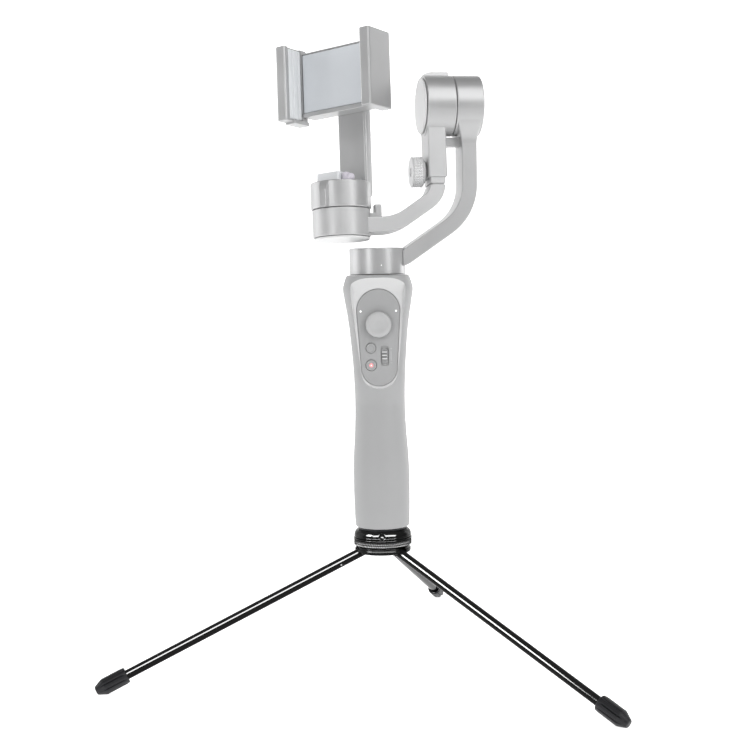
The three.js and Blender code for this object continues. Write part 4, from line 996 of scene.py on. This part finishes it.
def build_tilt():
    bar = bent_bar([(SLIDE_X, -25.0, 0), (SLIDE_X, -56.2, 14), (10.2, -74.05, 30), (-12, -74.05, 0)])
    on_axis = shifted(TILT_X, 0, 0)
    drum = cylinder(17.75, -81, TILT_SEAM - 0.15, 0.7).at(on_axis)
    hollow = cylinder(BORE_R, -77.5, -63).at(on_axis)
    inner = TILT_X + 18.46 + 0.6
    tab = box([inner + 1.2, inner + 5.6], [-3.5, 3.5], [-72, -61], 0.9, 0.6)
    tab_foot = box([inner - 2, inner + 3], [-3.5, 3.5], [-71.4, -66.2], 0, 0.5)
    scored = cut(box([SLIDE_X - 6, SLIDE_X + 6], [-11, 11], [-50.2, -49.1]),
                 box([SLIDE_X - 3.6, SLIDE_X + 3.6], [-8.6, 8.6], [-51, -48]))
    arm = cut(union(bar, drum, tab, tab_foot), hollow, scored)
    # The whole inner arm is in the paler copy of the alloy: a painted highlight.
    piece("inner_arm", arm, ROLL, "tilt_arm", "pale_alloy", ["tilt_arm"])
    cover = cylinder(FACE_R, -82.5, -81.3, 0.4).at(on_axis)
    piece("tilt_face", cover, ROLL, "tilt_arm", "face_disc", ["tilt_cover"])


# ---------------------------------------------------------------- phone clamp

JAW_OUTER = 36.0
JAW_INNER = 28.5
JAW_Y = (-15.2, 6.7)
JAW_Z = (41.2, 87.4)
PAD_Z = (42.9, 86.2)
PLATE_FACE = 1.7


def build_clamp_base():
    bottom = TILT_SEAM + 0.15 - TILT_TOP
    shell = cylinder(18.46, bottom, 0, 0.8)
    hollow = cylinder(BORE_R, bottom - 1, TILT_SEAM - TILT_TOP + 14)
    ridge = stop_ridge(18.46, 2.6, bottom, -0.6).at(turned("Z", 6))
    housing = cut(union(shell, ridge), hollow)
    piece("tilt_drum", housing, CLAMP, "clamp", "cast_alloy", ["tilt_housing"])
    rest = box([-11.5, 5.2], [-9, -0.5], [0.3, 6.4], 1.4, 0.8)
    piece("phone_rest", rest, CLAMP, "clamp", "pale_rubber", ["rest_pad"])
    boot = union(
        box([5.4, 9.6], [-6.4, -1.0], [0.3, 5.9], 2.0, 1.6),
        box([7.8, 12.6], [-5.6, -0.6], [0.3, 4.9], 2.3, 1.8),
        box([6.0, 11.6], [-6.8, -2.0], [0.3, 2.4], 1.6, 0.9),
    )
    piece("lead_boot", boot, CLAMP, "clamp", "lilac_rubber", ["cable_boot"])

    side = softened([
        (13.6, 80.0, 0.6), (13.6, -8.5, 0.6), (20.0, -8.5, 4.6), (20.0, 80.0, 3.0),
    ], closed=True, steps=10)
    upright = prism(side, -10.64, 10.64, 1.6)
    place = Matrix(((0, 0, 1, 0), (1, 0, 0, 0), (0, 1, 0, 0), (0, 0, 0, 1)))
    post = cut(upright.at(place), cylinder(18.76, -16, 0.3))
    front = softened([(-9.9, 0.9, 2.6), (9.9, 0.9, 2.6), (9.9, 79), (-9.9, 79)], closed=True)
    post = union(post, prism(front, -14.6, -12.8, 0.5).at(UPRIGHT))
    piece("upright_post", post, CLAMP, "clamp", "cast_alloy", ["clamp_post"])
    screw = cut(cylinder(1.1, -13.2, -12.6, 0.2, FINE), box([-0.8, 0.8], [-0.18, 0.18], [-12.82, -12.4]))
    piece("post_screw", screw, CLAMP @ shifted(7.2, 0, 3.6) @ UPRIGHT, "clamp", "steel")


def jaw_block():
    block = box([-JAW_OUTER, -JAW_INNER], JAW_Y, JAW_Z, 1.3, 0.7)
    return cut(block, box([-JAW_INNER - 2, -JAW_INNER + 2], [-12.0, 0.6], [JAW_Z[0] + 1.4, JAW_Z[1] + 1]))


def jaw_pad():
    y0, y1 = -11.7, 0.3
    base = box([-JAW_INNER - 1.7, -JAW_INNER - 0.5], [y0, y1], PAD_Z, 0.3, 0.25)
    height = [PAD_Z[0] + 0.3, PAD_Z[1] - 0.3]
    ribs = [box([-JAW_INNER - 0.9, -JAW_INNER + 0.1], [y0 + start, y0 + end], height, 0.45, 0.4)
            for start, end in ((0.4, 2.8), (4.6, 7.4), (9.2, 11.6))]
    return union(base, *ribs)


MIRROR = Matrix.Scale(-1, 4, (1, 0, 0))


def mirrored(solid):
    turned_over = solid.at(MIRROR)
    turned_over.faces = [tuple(reversed(face)) for face in turned_over.faces]
    return turned_over


def build_clamp():
    body = box([-28.1, 31.0], [PLATE_FACE + 1.7, 12.5], [44.7, 85], 1.0, 0.6)
    lower_lip = box([-28.1, 29.5], [0.9, 4.1], [44.7, 47.4], 0, 0.35)
    upper_lip = box([-28.1, 29.5], [PLATE_FACE, 4.1], [84.2, 85], 0, 0.2)
    channel = box([-30, 24], [5.2, 10.7], [52, 78])
    pocket = box([-24, 22], [5.8, 10.2], [45.9, 53])
    fixed = cut(union(body, lower_lip, upper_lip, mirrored(jaw_block())), channel, pocket)
    piece("clamp_frame", fixed, CLAMP, "clamp", "cast_alloy", ["clamp_body"])
    piece("fixed_pad", mirrored(jaw_pad()), CLAMP, "clamp", "pale_rubber", ["fixed_jaw_pad"])
    plate = box([-28.1, 28.2], [PLATE_FACE, PLATE_FACE + 1.4], [47.7, 83.9], 0.4, 0.3)
    piece("phone_plate", plate, CLAMP, "clamp", "slate_plate", ["back_plate"])

    slide = box([-34, 19], [5.5, 10.4], [52.3, 77.7], 0.4, 0.3)
    foot = box([-35.5, -27.6], [-8, 6.3], [40.1, 42.6], 0.6, 0.3)
    jaw = union(jaw_block(), slide, foot)
    piece("spring_jaw", jaw, CLAMP, "moving_jaw", "cast_alloy", ["moving_jaw"])
    piece("spring_pad", jaw_pad(), CLAMP, "moving_jaw", "pale_rubber", ["moving_jaw_pad"])


# ---------------------------------------------------------------- inner pieces

def dress_nodes():
    """The pieces that keep their CAD shape: welded, smooth where they are round, and finished."""
    tree = bpy.data.node_groups.new("weld and smooth", "GeometryNodeTree")
    tree.interface.new_socket("Geometry", in_out="INPUT", socket_type="NodeSocketGeometry")
    tree.interface.new_socket("Geometry", in_out="OUTPUT", socket_type="NodeSocketGeometry")
    start = tree.nodes.new("NodeGroupInput")
    weld = tree.nodes.new("GeometryNodeMergeByDistance")
    weld.inputs["Distance"].default_value = 1e-6
    faces = tree.nodes.new("GeometryNodeSetShadeSmooth")
    edges = tree.nodes.new("GeometryNodeSetShadeSmooth")
    edges.domain = "EDGE"
    edges.inputs["Shade Smooth"].default_value = False
    angle = tree.nodes.new("GeometryNodeInputMeshEdgeAngle")
    sharp = tree.nodes.new("FunctionNodeCompare")
    sharp.operation = "GREATER_THAN"
    sharp.inputs["B"].default_value = CREASE
    end = tree.nodes.new("NodeGroupOutput")
    for source, target in (
        (start.outputs[0], weld.inputs["Geometry"]),
        (weld.outputs["Geometry"], faces.inputs["Geometry"]),
        (faces.outputs["Geometry"], edges.inputs["Geometry"]),
        (angle.outputs["Unsigned Angle"], sharp.inputs["A"]),
        (sharp.outputs["Result"], edges.inputs["Selection"]),
        (edges.outputs["Geometry"], end.inputs[0]),
    ):
        tree.links.new(source, target)
    slots = {s["node"]: s["material_slot"] for s in frame["record"]["subparts"]}
    for name, node in frame["nodes"].items():
        node.data.materials.clear()
        node.data.materials.append(look[slots[name]])
        modifier = node.modifiers.new("smooth", "NODES")
        modifier.node_group = tree


# ---------------------------------------------------------------- stage, light, camera

def build_stage():
    """A pale floor that curves up into a pale wall behind the object."""
    depth, rise, bend, steps = 1.6, 2.6, 0.9, 16
    line = [(-3.0, 0.0)]
    line += [(depth + bend * math.sin(a), bend * (1 - math.cos(a)))
             for a in (math.pi / 2 * k / steps for k in range(steps + 1))]
    line.append((depth + bend, rise))
    corners = [(x, y, z + cad_box[0][2]) for y, z in line for x in (-4.0, 4.0)]
    faces = [(2 * k, 2 * k + 1, 2 * k + 3, 2 * k + 2) for k in range(len(line) - 1)]
    mesh = bpy.data.meshes.new("studio_floor")
    mesh.from_pydata(corners, [], faces)
    mesh.shade_smooth()
    nodes = Nodes("studio_paper")
    paper = nodes.mix(nodes.ramp(nodes.noise(3, 2), 0, 1), (0.93, 0.93, 0.93), (0.95, 0.95, 0.95))
    nodes.link(paper, nodes.shader.inputs["Base Color"])
    nodes.link(paper, nodes.shader.inputs["Emission Color"])
    split = nodes.add("ShaderNodeSeparateXYZ")
    nodes.link(nodes.place, split.inputs["Vector"])
    glow = nodes.ramp(split.outputs["Y"], 0.05, 0.85, -0.5, -0.12)
    nodes.link(glow, nodes.shader.inputs["Emission Strength"])
    nodes.shader.inputs["Roughness"].default_value = 0.9
    nodes.shader.inputs["Specular IOR Level"].default_value = 0.1
    mesh.materials.append(nodes.material)
    floor = bpy.data.objects.new("studio_floor", mesh)
    bpy.context.scene.collection.objects.link(floor)


def softbox(name, place, target, width, height, power):
    data = bpy.data.lights.new(name, "AREA")
    data.shape = "RECTANGLE"
    data.size, data.size_y, data.energy = width, height, power
    light = bpy.data.objects.new(name, data)
    light.location = place
    aim = (Vector(target) - Vector(place)).to_track_quat("-Z", "Y")
    light.rotation_euler = aim.to_euler()
    bpy.context.scene.collection.objects.link(light)
    return light


def lights_only(light, pieces):
    receivers = bpy.data.collections.new(f"{light.name}_receivers")
    for lit in pieces:
        receivers.objects.link(lit)
    light.light_linking.receiver_collection = receivers


def build_light():
    world = bpy.data.worlds.new("studio")
    bpy.context.scene.world = world
    world.use_nodes = True
    background = world.node_tree.nodes["Background"]
    background.inputs["Color"].default_value = (1, 1, 1, 1)
    background.inputs["Strength"].default_value = 0.2
    middle = (0, 0, 0.15)
    softbox("key_left", (-0.85, -1.2, 0.45), middle, 0.4, 1.2, 5.5)
    key_right = softbox("key_right", (1.05, -0.95, 0.45), middle, 0.35, 1.2, 4.2)
    softbox("key_top", (0.45, -0.92, 1.12), (0, 0, 0.24), 1.1, 1.2, 9.5)
    softbox("rim_left", (-1.35, 0.35, 0.4), middle, 0.9, 1.2, 7)
    softbox("rim_right", (1.3, 0.9, 0.4), middle, 0.7, 1.2, 5)
    strips = (
        softbox("streak_front", (0.12, -1.02, 0.80), (0, 0, 0), 2.5, 0.55, 950),
        softbox("streak_left", (-1.02, -0.53, 0.74), (0, 0, 0), 0.5, 0.60, 300),
    )
    meshes = [made for made in bpy.data.objects if made.type == "MESH"]
    for strip in strips:
        lights_only(strip, [made for made in meshes if made.get("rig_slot") == "black_anodised"])
    lights_only(key_right, [made for made in meshes if made.name != "clamp_frame"])


def build_camera():
    """The camera of the photograph: 60.3 mm on a 36 mm sensor, almost level, a little rolled."""
    yaw, pitch, roll = (math.radians(a) for a in (-0.208, -4.03, -1.171))
    forward = Vector((math.sin(yaw) * math.cos(pitch), math.cos(yaw) * math.cos(pitch), math.sin(pitch)))
    right = Vector((math.cos(yaw), -math.sin(yaw), 0))
    up = right.cross(forward)
    rolled_right = right * math.cos(roll) + up * math.sin(roll)
    rolled_up = up * math.cos(roll) - right * math.sin(roll)
    data = bpy.data.cameras.new("camera")
    data.sensor_width = 36
    data.lens = 60.28
    data.clip_start = 0.01
    camera = bpy.data.objects.new("camera", data)
    turn = Matrix((rolled_right, rolled_up, -forward)).transposed().to_4x4()
    camera.matrix_world = Matrix.Translation((0, -0.7837, 0.16624)) @ turn
    bpy.context.scene.collection.objects.link(camera)
    bpy.context.scene.camera = camera


build_camera()
dress_nodes()
build_hub()
build_legs()
build_grip()
build_controls()
build_pan()
build_roll()
build_tilt()
build_clamp_base()
build_clamp()
build_stage()
build_light()
bpy.context.scene.view_settings.view_transform = "Standard"
